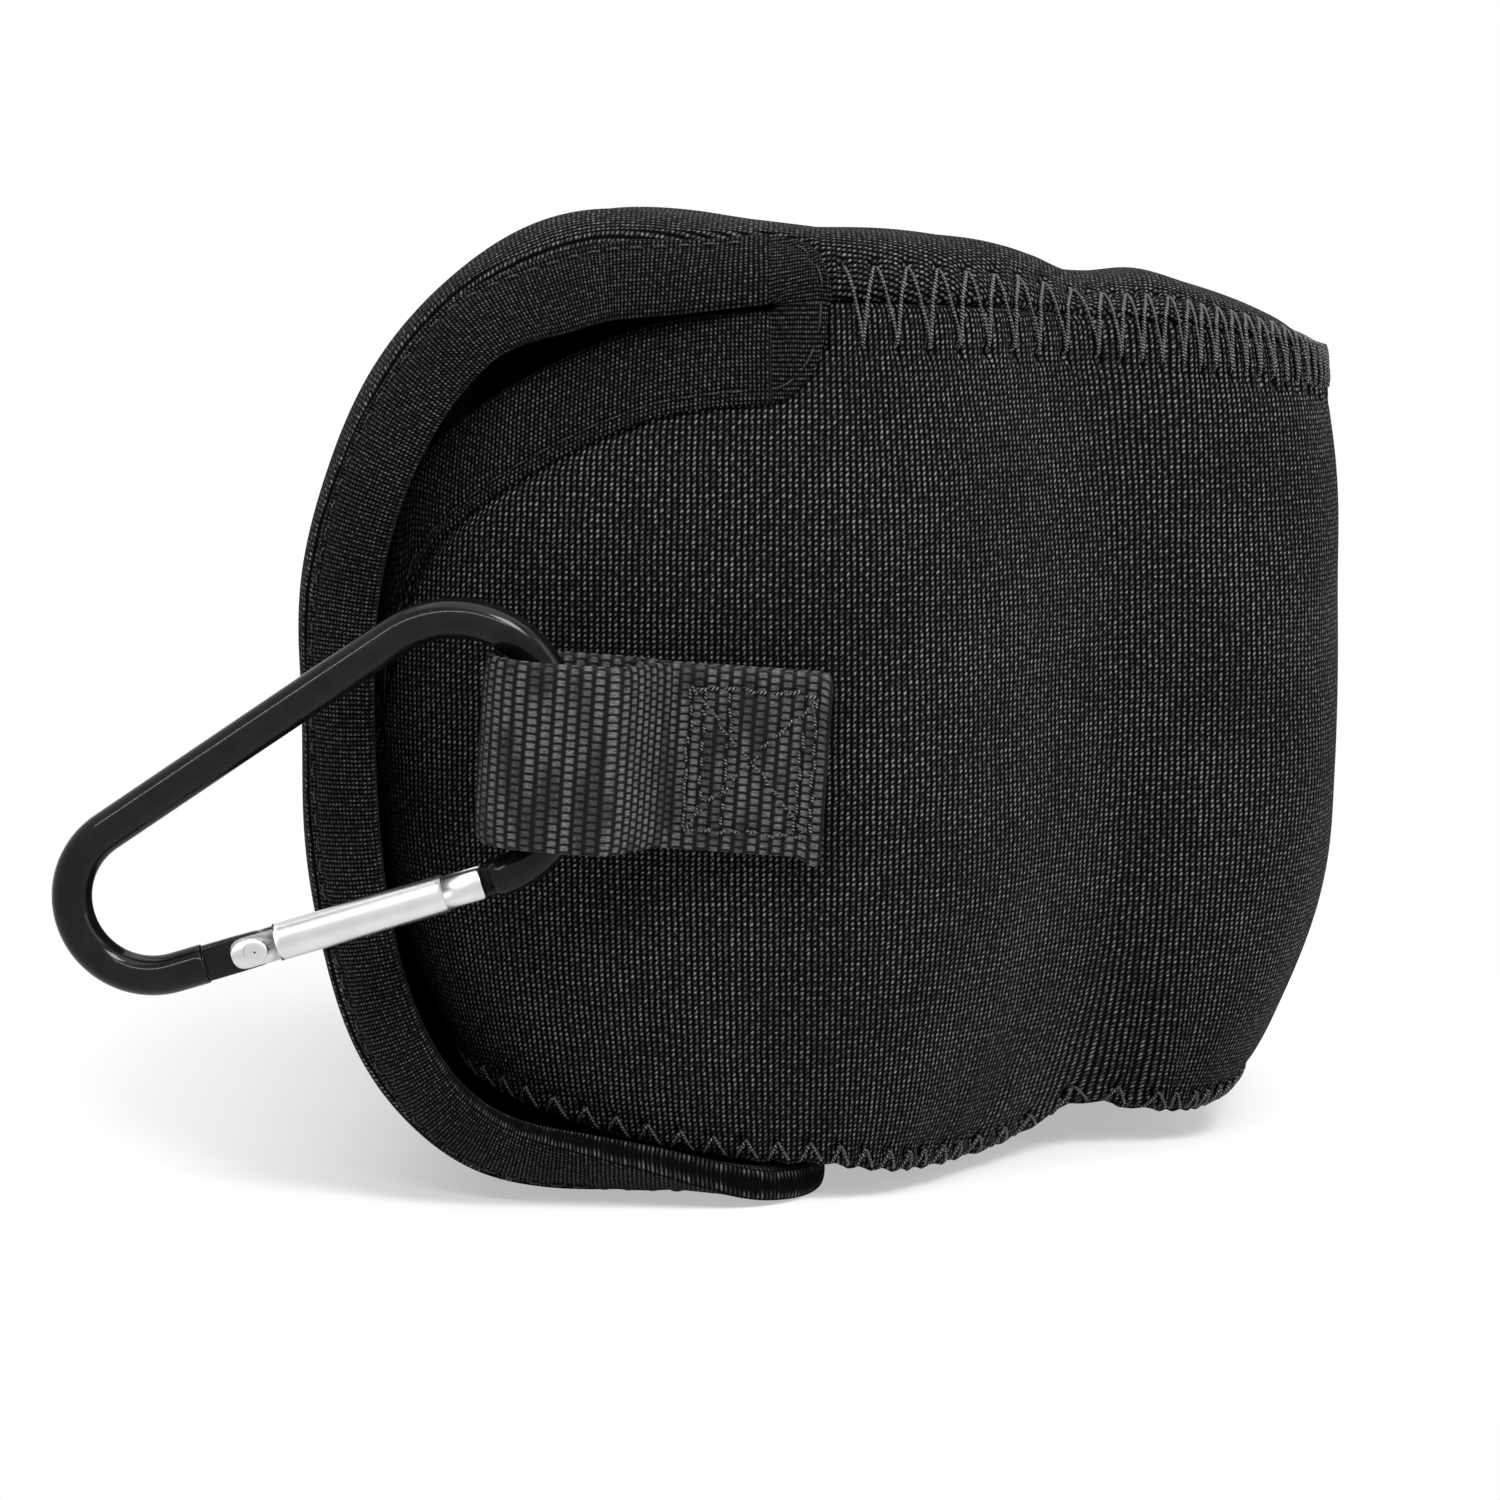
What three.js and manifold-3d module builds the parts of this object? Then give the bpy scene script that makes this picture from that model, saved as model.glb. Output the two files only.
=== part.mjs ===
// A neoprene camera pouch with a wrap-round back flap, a webbing loop and a small carabiner.
// Millimetres. +X points to the lens end, +Z is up, -Y is the side with the webbing loop.
// The origin is on the surface that the closed pouch stands on, under the flap's flat tail.
import * as THREE from "three";
import { mergeVertices } from "three/addons/utils/BufferGeometryUtils.js";
import Module from "manifold-3d";

const wasm = await Module();
wasm.setup();
const { Manifold } = wasm;

// Pouch: half of its plan at the widest level, from the rear wall's middle to the lens end
const planStations = [
  [-45, 0], [-44.7, 22], [-43.4, 40], [-39.6, 51], [-32, 57.6], [-20, 61.9], [-6, 64.4], [5, 65],
  [14, 64.2], [22, 61], [29, 55], [35, 48.2], [41, 43.2], [47, 41.4], [53, 40.4], [59.4, 37.8],
  [65.1, 32.6], [68.7, 25], [70.4, 14], [70.8, 0],
];
const bodyHalfWidth = 65;
const hingeX = 8; // where the flap leaves the top panel
const flankEndX = 7.4; // rear of here the side wall's upper edge is taped
const neoprene = 3; // laminated sheet, knit on both faces
const seamGap = 0.3; // between two butted edges

// Pouch: its height at the flap's hinge, and how far below that its top, seam and mouth lie
const hingeZ = 107.5;
const topMiddleDrops = [
  [8, 0], [15, 0.3], [24, 1.2], [32, 3.1], [37, 4.9], [42, 5.3], [46, 5], [53, 6.9],
  [60, 9.3], [64, 11.6], [66.5, 13.4], [68.4, 14.2],
];
const topSeamDrops = [
  [-46, 7.6], [8, 7.6], [20, 7.9], [27, 8.3], [38, 9.4], [48.5, 10.6], [57, 11.8], [68.4, 14.3],
];
const mouthDrops = [
  [-45, 46.5], [-43.4, 43.5], [-41.8, 38.5], [-40.3, 31.5], [-37.5, 25.1], [-33, 20.6],
  [-25.8, 16], [-17, 11.9], [-10, 9.8], [-2, 8.8], [7.4, 8.5],
];
const bottomSeamStations = [
  [8, 4.5], [14, 3.4], [20, 2.5], [26, 2.3], [31, 3], [35, 4.4], [38, 5.6], [41, 5.4], [46, 4.3],
  [52, 4], [58, 5.3],
];
const tailClearance = 4.5; // height of the bottom seam above the surface, over the tail's end
const bottomDish = 1.6; // the bottom is pressed in this far above the tail
const bottomSag = 1.8; // and hangs this far below its seam in front of it
const dishEndX = 9;
const sagStartX = 24;
const bottomCrown = 20; // the bottom's margin over which it dishes or sags
const bottomMiddle = { rear: -8, front: 32 };

// Pouch: how far the wall pulls in from its widest level to its two seams
const topPull = { rear: 5, side: 6, front: 2.5 };
const bottomPull = { rear: 11, side: 8, lens: 13, front: 12 };
const lensPullX = { start: 30, end: 46 }; // from here to here the lower pull grows to the lens's
const pullPowerShare = 2.6;

// Top panel and flap: a flat middle and margins that turn over ever faster to their edges
const turnPowerShare = 1.5;
const topMargin = 14.4; // length of the turned margin at the hinge
const frontRowHalfWidth = 16;
const rimClearance = 1.3; // the top panel's inner skin keeps this much further off the wall

// Flap: outer middle line, then its margins by station along it
const flapTop = { x: -14, rise: 2.3 }; // its highest line, above the hinge
const flapRear = { reach: 36.1, z: 60 };
const flapPowerShares = { upper: 2, lower: 2.8 };
const flapStationShares = [0, 0.1, 0.22, 0.5, 0.68, 0.78, 0.845, 0.89, 0.93, 0.965, 1];
const flapTurnShares = [1, 1, 1, 1, 0.98, 0.9, 0.74, 0.5, 0.26, 0.09, 0.01];
const flapMargins = [14.4, 15.6, 17.4, 18, 18, 18, 18, 17.6, 17, 16.4, 16];
const flapFlatInsets = [16.3, 15.2, 15.1, 15.4, 15.4, 16.1, 18, 19.6, 20.7, 21, 21]; // from the widest level
const tailEndX = 8.5;

// Knit binding tape, folded round the pressed edge of the neoprene
const tapeWidth = 9;
const tapeThickness = 0.6;
const tapeGap = 0.3;
const pressedEdge = 1.7; // the neoprene's thickness inside the tape
const pressedRun = 2; // length of the step from full thickness
const foldRound = 0.9;
const tapeDepth = 2 * (tapeThickness + tapeGap) + pressedEdge;

// Hook-and-loop patches under the tail
const patch = { length: 15, width: 50, thickness: 1, corner: 4, frontX: -3 };
const loopPatchFallShare = 0.161; // slope of the loop patch, along the path that the tail swings on
const loopPatchFrontZ = 4.95;

// Webbing loop
const webbing = { width: 20, thickness: 1.4, middleX: -10, middleZ: 51.85, endX: 8.5, sewnX: -8.5, ply: 0.3 };
const webbingTilt = THREE.MathUtils.degToRad(4);
const loopInner = 5.6; // inside radius of the loop's bend
const loopBendX = -21.8;
const loopOpenX = -15.5; // here the two plies are fully apart

// Carabiner: bent rod, laid out in its own plane with the gate pin at the origin
const rod = 2.15; // radius
const bigLower = { x: 26.5, z: 12, r: 12 };
const bigUpper = { x: 27.5, z: 17.4, r: 11 };
const smallEnd = { x: -9.2, z: 8.5, r: 8.5 };
const tongue = { thickness: 1.7, start: -5.6, root: -9.2, height: 3.9, overhang: 1.9 };
const nose = { tip: 22.1, root: 27.4, height: 3.2, throat: 1.5 };
const carabinerTilt = THREE.MathUtils.degToRad(16.5);
const carabinerHang = { behind: 30.9, below: 30.55 }; // its pin, from the loop's bend and top edge

// Gate, its pins and spring
const gate = { radius: 2.05, start: -2.6, end: 25.2, slot: 2.3, pivotSlot: 4.9, noseSlot: 4.2 };
const gateBore = { radius: 1.3, end: 18.5 };
const pivotPin = { radius: 0.8, head: 1.3, headThickness: 0.35, over: 0.1 };
const latchPin = { radius: 0.55, x: 23.6 };
const runningClearance = 0.1;
const spring = { wire: 0.2, radius: 0.85, start: 6.2, length: 12, turns: 9 };
const plunger = { radius: 1.1, start: 2.3, length: 3.6, nose: 0.5 };

const roundSides = 24;
const smallRoundSides = 16;
const rodSides = 14;
const overrun = 2; // how far cutting tools run past what they cut

// Helpers

// A smooth function through [x, value] stations that never swings past them.
function smoothThrough(stations) {
  const n = stations.length;
  const slope = [];
  for (let i = 0; i < n - 1; i++) {
    slope.push((stations[i + 1][1] - stations[i][1]) / (stations[i + 1][0] - stations[i][0]));
  }
  const tangent = stations.map((_, i) => {
    if (i === 0) return slope[0];
    if (i === n - 1) return slope[n - 2];
    const a = slope[i - 1];
    const b = slope[i];
    return a * b <= 0 ? 0 : (2 * a * b) / (a + b);
  });
  return (x) => {
    if (x <= stations[0][0]) return stations[0][1];
    if (x >= stations[n - 1][0]) return stations[n - 1][1];
    let i = 0;
    while (x > stations[i + 1][0]) i++;
    const span = stations[i + 1][0] - stations[i][0];
    const k = (x - stations[i][0]) / span;
    const rise = stations[i + 1][1] - stations[i][1];
    const a = tangent[i] * span;
    const b = tangent[i + 1] * span;
    return stations[i][1] + a * k + (3 * rise - 2 * a - b) * k * k + (a + b - 2 * rise) * k ** 3;
  };
}

function smoothstep(k) {
  const c = THREE.MathUtils.clamp(k, 0, 1);
  return c * c * (3 - 2 * c);
}

// Closed triangle mesh from rings or grids of points; turned outward by its signed volume.
class Surface {
  constructor() {
    this.points = [];
    this.faces = [];
  }
  add(point) {
    this.points.push(point);
    return this.points.length - 1;
  }
  quad(a, b, c, d) {
    this.faces.push([a, b, c], [a, c, d]);
  }
  volume() {
    const cross = new THREE.Vector3();
    return this.faces.reduce((sum, [a, b, c]) => {
      cross.crossVectors(this.points[b], this.points[c]);
      return sum + this.points[a].dot(cross) / 6;
    }, 0);
  }
  outward() {
    return this.volume() < 0 ? this.faces.map(([a, b, c]) => [a, c, b]) : this.faces;
  }
  geometry() {
    const geometry = new THREE.BufferGeometry();
    const flat = this.points.flatMap((p) => [p.x, p.y, p.z]);
    geometry.setAttribute("position", new THREE.Float32BufferAttribute(flat, 3));
    geometry.setIndex(this.outward().flat());
    return geometry;
  }
  solid() {
    const mesh = new wasm.Mesh({
      numProp: 3,
      vertProperties: new Float32Array(this.points.flatMap((p) => [p.x, p.y, p.z])),
      triVerts: new Uint32Array(this.outward().flat()),
    });
    return new Manifold(mesh);
  }
}

// A sheet between two grids of points, closed by walls along its free edges.
function slab(outer, inner, closed) {
  const surface = new Surface();
  const rows = outer.length;
  const columns = outer[0].length;
  const top = outer.map((row) => row.map((p) => surface.add(p)));
  const under = inner.map((row) => row.map((p) => surface.add(p)));
  const last = closed ? rows : rows - 1;
  for (let i = 0; i < last; i++) {
    const next = (i + 1) % rows;
    for (let j = 0; j < columns - 1; j++) {
      surface.quad(top[i][j], top[next][j], top[next][j + 1], top[i][j + 1]);
      surface.quad(under[i][j], under[i][j + 1], under[next][j + 1], under[next][j]);
    }
    surface.quad(top[i][0], under[i][0], under[next][0], top[next][0]);
    const end = columns - 1;
    surface.quad(top[i][end], top[next][end], under[next][end], under[i][end]);
  }
  if (!closed) {
    for (let j = 0; j < columns - 1; j++) {
      surface.quad(top[0][j], top[0][j + 1], under[0][j + 1], under[0][j]);
      surface.quad(top[rows - 1][j], under[rows - 1][j], under[rows - 1][j + 1], top[rows - 1][j + 1]);
    }
  }
  return surface;
}

// A tube of rings, closed by a fan at each end.
function loft(rings) {
  const surface = new Surface();
  const index = rings.map((ring) => ring.map((p) => surface.add(p)));
  const count = rings[0].length;
  for (let i = 0; i < rings.length - 1; i++) {
    for (let j = 0; j < count; j++) {
      const k = (j + 1) % count;
      surface.quad(index[i][j], index[i + 1][j], index[i + 1][k], index[i][k]);
    }
  }
  const caps = [[0, 1], [rings.length - 1, -1]];
  for (const [i, turn] of caps) {
    const flat = rings[i].map((p) => p.clone());
    for (const [a, b, c] of capTriangles(flat)) {
      const [p, q] = turn > 0 ? [b, c] : [c, b];
      surface.faces.push([index[i][a], index[i][p], index[i][q]]);
    }
  }
  return surface;
}

// Triangles over a flat, possibly hollow-sided, ring of points.
function capTriangles(ring) {
  const centre = ring.reduce((s, p) => s.add(p), new THREE.Vector3()).divideScalar(ring.length);
  const normal = new THREE.Vector3();
  ring.forEach((p, i) => {
    const next = ring[(i + 1) % ring.length];
    normal.add(new THREE.Vector3().crossVectors(p.clone().sub(centre), next.clone().sub(centre)));
  });
  normal.normalize();
  const across = ring[1].clone().sub(ring[0]).normalize();
  const up = new THREE.Vector3().crossVectors(normal, across);
  const flat = ring.map((p) => new THREE.Vector2(p.dot(across), p.dot(up)));
  return THREE.ShapeUtils.triangulateShape(flat, []);
}

// A solid from a closed three.js geometry.
function solidOf(geometry) {
  const merged = welded(geometry);
  return new Manifold(new wasm.Mesh({
    numProp: 3,
    vertProperties: new Float32Array(merged.attributes.position.array),
    triVerts: new Uint32Array(merged.index.array),
  }));
}

function welded(geometry) {
  geometry.deleteAttribute("normal");
  geometry.deleteAttribute("uv");
  return mergeVertices(geometry);
}

function fromSolid(solid) {
  const mesh = solid.getMesh();
  const geometry = new THREE.BufferGeometry();
  const step = mesh.numProp;
  const flat = [];
  for (let i = 0; i < mesh.vertProperties.length; i += step) {
    flat.push(mesh.vertProperties[i], mesh.vertProperties[i + 1], mesh.vertProperties[i + 2]);
  }
  geometry.setAttribute("position", new THREE.Float32BufferAttribute(flat, 3));
  geometry.setIndex(Array.from(mesh.triVerts));
  return geometry;
}

const vec = (x, y, z) => new THREE.Vector3(x, y, z);

// Pouch wall

const planPoints = [];
const widen = bodyHalfWidth / Math.max(...planStations.map(([, y]) => y));
for (const [x, y] of planStations) planPoints.push(vec(x, y * widen, 0));
for (const [x, y] of planStations.slice(1, -1).reverse()) planPoints.push(vec(x, -y * widen, 0));
const planCurve = new THREE.CatmullRomCurve3(planPoints, true, "centripetal");
planCurve.arcLengthDivisions = 1200;
const planLength = planCurve.getLength();
const halfPlan = planLength / 2;

// Point and outward direction of the plan at a length along it, from the rear wall's middle.
function planAt(length) {
  const share = (((length / planLength) % 1) + 1) % 1;
  const point = planCurve.getPointAt(share);
  const tangent = planCurve.getTangentAt(share);
  return { point, normal: vec(tangent.y, -tangent.x, 0).negate() };
}

// Half width of the plan at an x.
function halfWidthAt(x) {
  let low = 0;
  let high = halfPlan;
  while (high - low > seamGap / 100) {
    const middle = (low + high) / 2;
    if (planAt(middle).point.x < x) low = middle;
    else high = middle;
  }
  return Math.abs(planAt(low).point.y);
}

const topSeamDrop = smoothThrough(topSeamDrops);
const topMiddleDrop = smoothThrough(topMiddleDrops);
const mouthDrop = smoothThrough(mouthDrops);
const frontBottomSeam = smoothThrough(bottomSeamStations);
const topSeam = (x) => hingeZ - topSeamDrop(x);
const topMiddle = (x) => hingeZ - topMiddleDrop(x);
const mouth = (x) => hingeZ - mouthDrop(x);
const tailRadius = hingeZ - tailClearance;

function bottomSeam(x) {
  if (x >= hingeX) return frontBottomSeam(x);
  return hingeZ - Math.sqrt(tailRadius ** 2 - (x - hingeX) ** 2);
}

function pulled(normal, pull, side) {
  const end = normal.x < 0 ? pull.rear : pull.front;
  return side * normal.y ** 2 + end * normal.x ** 2;
}

// The wall's rims and its outer surface at a height.
function wallAt(length) {
  const { point, normal } = planAt(length);
  const towardsLens = smoothstep((point.x - lensPullX.start) / (lensPullX.end - lensPullX.start));
  const lowSide = bottomPull.side + (bottomPull.lens - bottomPull.side) * towardsLens;
  const low = pulled(normal, bottomPull, lowSide);
  const high = pulled(normal, topPull, topPull.side);
  const bottom = bottomSeam(point.x - normal.x * low);
  const top = topSeam(point.x - normal.x * high);
  const surfaceAt = (z) => {
    const side = (2 * (z - bottom)) / (top - bottom) - 1;
    const inset = (side < 0 ? low : high) * Math.abs(side) ** pullPowerShare;
    return vec(point.x - normal.x * inset, point.y - normal.y * inset, z);
  };
  return { normal, bottom, top, surfaceAt, x: point.x };
}

// Length along the plan where the +Y half first reaches x.
function lengthAtX(x) {
  let low = 0;
  let high = halfPlan;
  for (let i = 0; i < 50; i++) {
    const middle = (low + high) / 2;
    if (planAt(middle).point.x < x) low = middle;
    else high = middle;
  }
  return (low + high) / 2;
}

const hingeLength = lengthAtX(hingeX);
const flankLength = lengthAtX(flankEndX);

function spaced(start, end, count) {
  return Array.from({ length: count }, (_, i) => start + ((end - start) * i) / (count - 1));
}

const rearColumns = spaced(0, flankLength, 23);
const frontColumns = spaced(hingeLength, halfPlan, 25);
const halfColumns = [...rearColumns, ...frontColumns];
const mirrored = halfColumns.slice(1, -1).reverse();
const wallColumns = [...halfColumns, ...mirrored.map((length) => planLength - length)];
const isTaped = (length) => Math.min(length, planLength - length) <= flankLength + seamGap / 2;

// Height of the neoprene's own edge inside the mouth's tape, and the edge's slope in the sheet.
function mouthEdge(length) {
  return mouth(planAt(length).point.x) - tapeThickness - tapeGap;
}
function mouthSlope(length) {
  return (mouthEdge(length + seamGap) - mouthEdge(length - seamGap)) / (2 * seamGap);
}

function pressOut(distance) {
  return (tapeThickness + tapeGap) * (1 - smoothstep((distance - tapeWidth - tapeGap) / pressedRun));
}
function pressIn(distance) {
  const pressed = tapeThickness + tapeGap + pressedEdge;
  const k = smoothstep((distance - tapeWidth - tapeGap) / pressedRun);
  return pressed + (neoprene - pressed) * k;
}

const marginDistances = [0, tapeWidth / 2, tapeWidth + tapeGap, tapeWidth + tapeGap + pressedRun];

const outerWall = [];
const innerWall = [];
const mitre = neoprene;
for (const length of wallColumns) {
  const wall = wallAt(length);
  const taped = isTaped(length);
  const top = taped ? mouthEdge(length) : wall.top - seamGap / 2;
  const bottom = wall.bottom + seamGap * Math.SQRT1_2;
  const stretch = taped ? Math.hypot(1, mouthSlope(length)) : 1;
  const heights = marginDistances.map((d) => top - d * stretch);
  const lower = spaced(bottom, heights[heights.length - 1], 8).slice(0, -1);
  const outerColumn = [];
  const innerColumn = [];
  lower.forEach((z, i) => {
    const point = wall.surfaceAt(z);
    outerColumn.push(point);
    const lift = i === 0 ? mitre : 0;
    const inner = point.clone().addScaledVector(wall.normal, -neoprene);
    inner.z += lift;
    innerColumn.push(inner);
  });
  const order = marginDistances.map((d, i) => [d, heights[i]]).reverse();
  for (const [distance, z] of order) {
    const point = wall.surfaceAt(z);
    const shallow = taped ? pressOut(distance) : 0;
    const deep = taped ? pressIn(distance) : neoprene;
    outerColumn.push(point.clone().addScaledVector(wall.normal, -shallow));
    innerColumn.push(point.clone().addScaledVector(wall.normal, -deep));
  }
  outerWall.push(outerColumn);
  innerWall.push(innerColumn);
}
const wrapPanel = slab(outerWall, innerWall, true).geometry();

// Turned margin: an arc-length profile across a panel

// Share of a margin's length that it runs down and across, for a full turn times a share.
function marginShape(turn, steps = 48) {
  const down = [0];
  const across = [0];
  for (let i = 0; i < steps; i++) {
    const angle = (turn * Math.PI / 2) * ((i + 1 / 2) / steps) ** turnPowerShare;
    down.push(down[i] + Math.sin(angle) / steps);
    across.push(across[i] + Math.cos(angle) / steps);
  }
  return { down, across };
}

// Place and lean of the cross-section at a length from its middle.
function acrossPanel(width, flat, margin, turn, shape) {
  const side = Math.sign(width);
  const reach = Math.abs(width);
  if (reach <= flat) return { y: width, down: 0, lean: 0, side: side || 1 };
  const share = (reach - flat) / margin;
  const steps = shape.down.length - 1;
  const place = Math.min(share, 1) * steps;
  const i = Math.min(Math.floor(place), steps - 1);
  const part = place - i;
  const beyond = Math.max(share - 1, 0);
  const lean = (turn * Math.PI / 2) * Math.min(share, 1) ** turnPowerShare;
  const down = shape.down[i] + (shape.down[i + 1] - shape.down[i]) * part + beyond * Math.sin(lean);
  const run = shape.across[i] + (shape.across[i + 1] - shape.across[i]) * part;
  const y = side * (flat + margin * (run + beyond * Math.cos(lean)));
  return { y, down: down * margin, lean, side };
}

// Turn that lets a margin of a given length drop a given height.
function turnFor(drop, margin) {
  let low = 0;
  let high = 1;
  for (let i = 0; i < 40; i++) {
    const middle = (low + high) / 2;
    const shape = marginShape(middle);
    if (shape.down[shape.down.length - 1] * margin < drop) low = middle;
    else high = middle;
  }
  return (low + high) / 2;
}

// Outward directions of a grid from its neighbours.
function gridNormals(grid, pointing) {
  return grid.map((row, i) => row.map((_, j) => {
    const a = grid[Math.min(i + 1, grid.length - 1)][j].clone().sub(grid[Math.max(i - 1, 0)][j]);
    const b = row[Math.min(j + 1, row.length - 1)].clone().sub(row[Math.max(j - 1, 0)]);
    const normal = a.cross(b).normalize();
    return normal.dot(pointing) < 0 ? normal.negate() : normal;
  }));
}

// Top panel

const rimAt = (length) => {
  const wall = wallAt(length);
  return { point: wall.surfaceAt(wall.top), normal: wall.normal };
};

function lastTopLength() {
  let low = hingeLength;
  let high = halfPlan;
  for (let i = 0; i < 50; i++) {
    const middle = (low + high) / 2;
    if (rimAt(middle).point.y > frontRowHalfWidth) low = middle;
    else high = middle;
  }
  return (low + high) / 2;
}

const topEnd = lastTopLength();
const topRows = spaced(hingeLength, topEnd, 22);
const acrossShares = [0, 0.3, 0.55, 0.72, 0.82, 0.89, 0.94, 0.975, 1];
const fullShares = [...acrossShares.slice(1).reverse().map((s) => -s), ...acrossShares];
const frontRimX = rimAt(halfPlan).point.x;
const frontBow = frontRimX - rimAt(topEnd).point.x;

const wallReach = neoprene + seamGap + rimClearance;
const topOuter = [];
const topRimNormals = [];
topRows.forEach((length, row) => {
  const rim = rimAt(length);
  const half = rim.point.y;
  const bow = frontBow * (row / (topRows.length - 1)) ** 2;
  const middleX = rim.point.x + bow;
  const rise = Math.max(topMiddle(middleX) - rim.point.z - seamGap / 2, 0);
  const fullDrop = marginShape(1);
  const fullShare = fullDrop.down[fullDrop.down.length - 1];
  const margin = Math.min(Math.max(rise / fullShare, topMargin), half);
  const turn = turnFor(rise, margin);
  const shape = marginShape(turn);
  const flat = half - margin * shape.across[shape.across.length - 1];
  const total = flat + margin;
  const rowPoints = fullShares.map((share) => {
    const place = acrossPanel(share * total, flat, margin, turn, shape);
    const x = middleX - bow * (place.y / half) ** 2;
    const start = row === 0 ? seamGap / 2 : 0;
    return vec(x + start, place.y, rim.point.z + seamGap / 2 + rise - place.down);
  });
  topOuter.push(rowPoints);
  topRimNormals.push(rim.normal);
});
const topNormals = gridNormals(topOuter, vec(0.2, 0, 1));
const topInner = topOuter.map((rowPoints, i) => rowPoints.map((point, j) => {
  const atRim = j === 0 || j === rowPoints.length - 1;
  const atFront = i === topOuter.length - 1;
  const atHinge = i === 0;
  let normal = topNormals[i][j].clone();
  if (atFront) {
    const planar = vec(normal.x, normal.y, 0);
    normal = planar.normalize();
  } else if (atRim) {
    normal = topRimNormals[i].clone();
    if (point.y < 0) normal.y = -normal.y;
  }
  if (atHinge) normal.setX(0).normalize();
  const inner = point.clone().addScaledVector(normal, -neoprene);
  const row = topOuter[i];
  const overWall = Math.abs(inner.y) > row[row.length - 1].y - wallReach;
  const overFront = inner.x > frontRimX - wallReach - (frontBow * (inner.y / frontRowHalfWidth) ** 2);
  if (overWall || overFront) inner.z = Math.max(inner.z, row[0].z);
  return inner;
}));
const topPanel = slab(topOuter, topInner, false).geometry();

// Bottom panel: rings from its rim in to a flat middle

const bottomRimAt = (length) => {
  const wall = wallAt(length);
  return { point: wall.surfaceAt(wall.bottom), normal: wall.normal };
};
const bottomRingShares = [0, 0.16, 0.36, 0.6, 0.84];

function bottomDrop(x) {
  const k = smoothstep((x - dishEndX) / (sagStartX - dishEndX));
  return bottomDish - (bottomDish + bottomSag) * k;
}

const bottomOuter = bottomRingShares.map((share) => wallColumns.map((length) => {
  const rim = bottomRimAt(length).point;
  const middle = vec(THREE.MathUtils.clamp(rim.x, bottomMiddle.rear, bottomMiddle.front), 0, 0);
  const point = rim.clone().lerp(middle, share);
  const crown = smoothstep(point.clone().setZ(rim.z).distanceTo(rim) / bottomCrown);
  point.z = bottomSeam(point.x) + bottomDrop(point.x) * crown - seamGap * Math.SQRT1_2;
  return point;
}));
const bottomInner = bottomOuter.map((ring, i) => ring.map((point, j) => {
  const inner = point.clone().add(vec(0, 0, neoprene));
  if (i === 0) inner.addScaledVector(bottomRimAt(wallColumns[j]).normal, -neoprene);
  return inner;
}));
const bottomSurface = new Surface();
const underRings = bottomOuter.map((ring) => ring.map((p) => bottomSurface.add(p)));
const upperRings = bottomInner.map((ring) => ring.map((p) => bottomSurface.add(p)));
const lastRing = bottomRingShares.length - 1;
wallColumns.forEach((_, j) => {
  const k = (j + 1) % wallColumns.length;
  for (let i = 0; i < lastRing; i++) {
    bottomSurface.quad(underRings[i][j], underRings[i][k], underRings[i + 1][k], underRings[i + 1][j]);
    bottomSurface.quad(upperRings[i][j], upperRings[i + 1][j], upperRings[i + 1][k], upperRings[i][k]);
  }
  bottomSurface.quad(underRings[0][j], upperRings[0][j], upperRings[0][k], underRings[0][k]);
});
const ringCount = wallColumns.length;
for (let j = 0; j < ringCount / 2; j++) {
  const [a, b, c, d] = [j, j + 1, (ringCount - j - 1) % ringCount, (ringCount - j) % ringCount];
  const under = underRings[lastRing];
  const upper = upperRings[lastRing];
  if (a !== d) bottomSurface.faces.push([under[a], under[b], under[d]], [upper[a], upper[d], upper[b]]);
  if (b !== c) bottomSurface.faces.push([under[b], under[c], under[d]], [upper[b], upper[d], upper[c]]);
}
const bottomPanel = bottomSurface.geometry();

// Flap: its middle line, from the hinge over the top, down the rear and under the bottom

const middlePoints = [];
const flapTopZ = hingeZ + flapTop.rise;
const topRun = smoothThrough([
  [flapTop.x - flapRear.reach, flapTopZ], [flapTop.x, flapTopZ], [hingeX, hingeZ],
]);
for (const x of spaced(hingeX, flapTop.x, 13).slice(0, -1)) middlePoints.push(vec(x, 0, topRun(x)));
for (const angle of spaced(0, Math.PI, 49)) {
  const up = Math.cos(angle);
  const power = up > 0 ? flapPowerShares.upper : flapPowerShares.lower;
  const reach = up > 0 ? flapTopZ - flapRear.z : flapRear.z;
  const x = flapTop.x - flapRear.reach * Math.sin(angle) ** (2 / power);
  middlePoints.push(vec(x, 0, flapRear.z + reach * Math.sign(up) * Math.abs(up) ** (2 / power)));
}
for (const x of spaced(flapTop.x, tailEndX, 9).slice(1)) middlePoints.push(vec(x, 0, 0));
const middleLengths = [0];
for (let i = 1; i < middlePoints.length; i++) {
  middleLengths.push(middleLengths[i - 1] + middlePoints[i].distanceTo(middlePoints[i - 1]));
}
const flapLength = middleLengths[middleLengths.length - 1];

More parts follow.
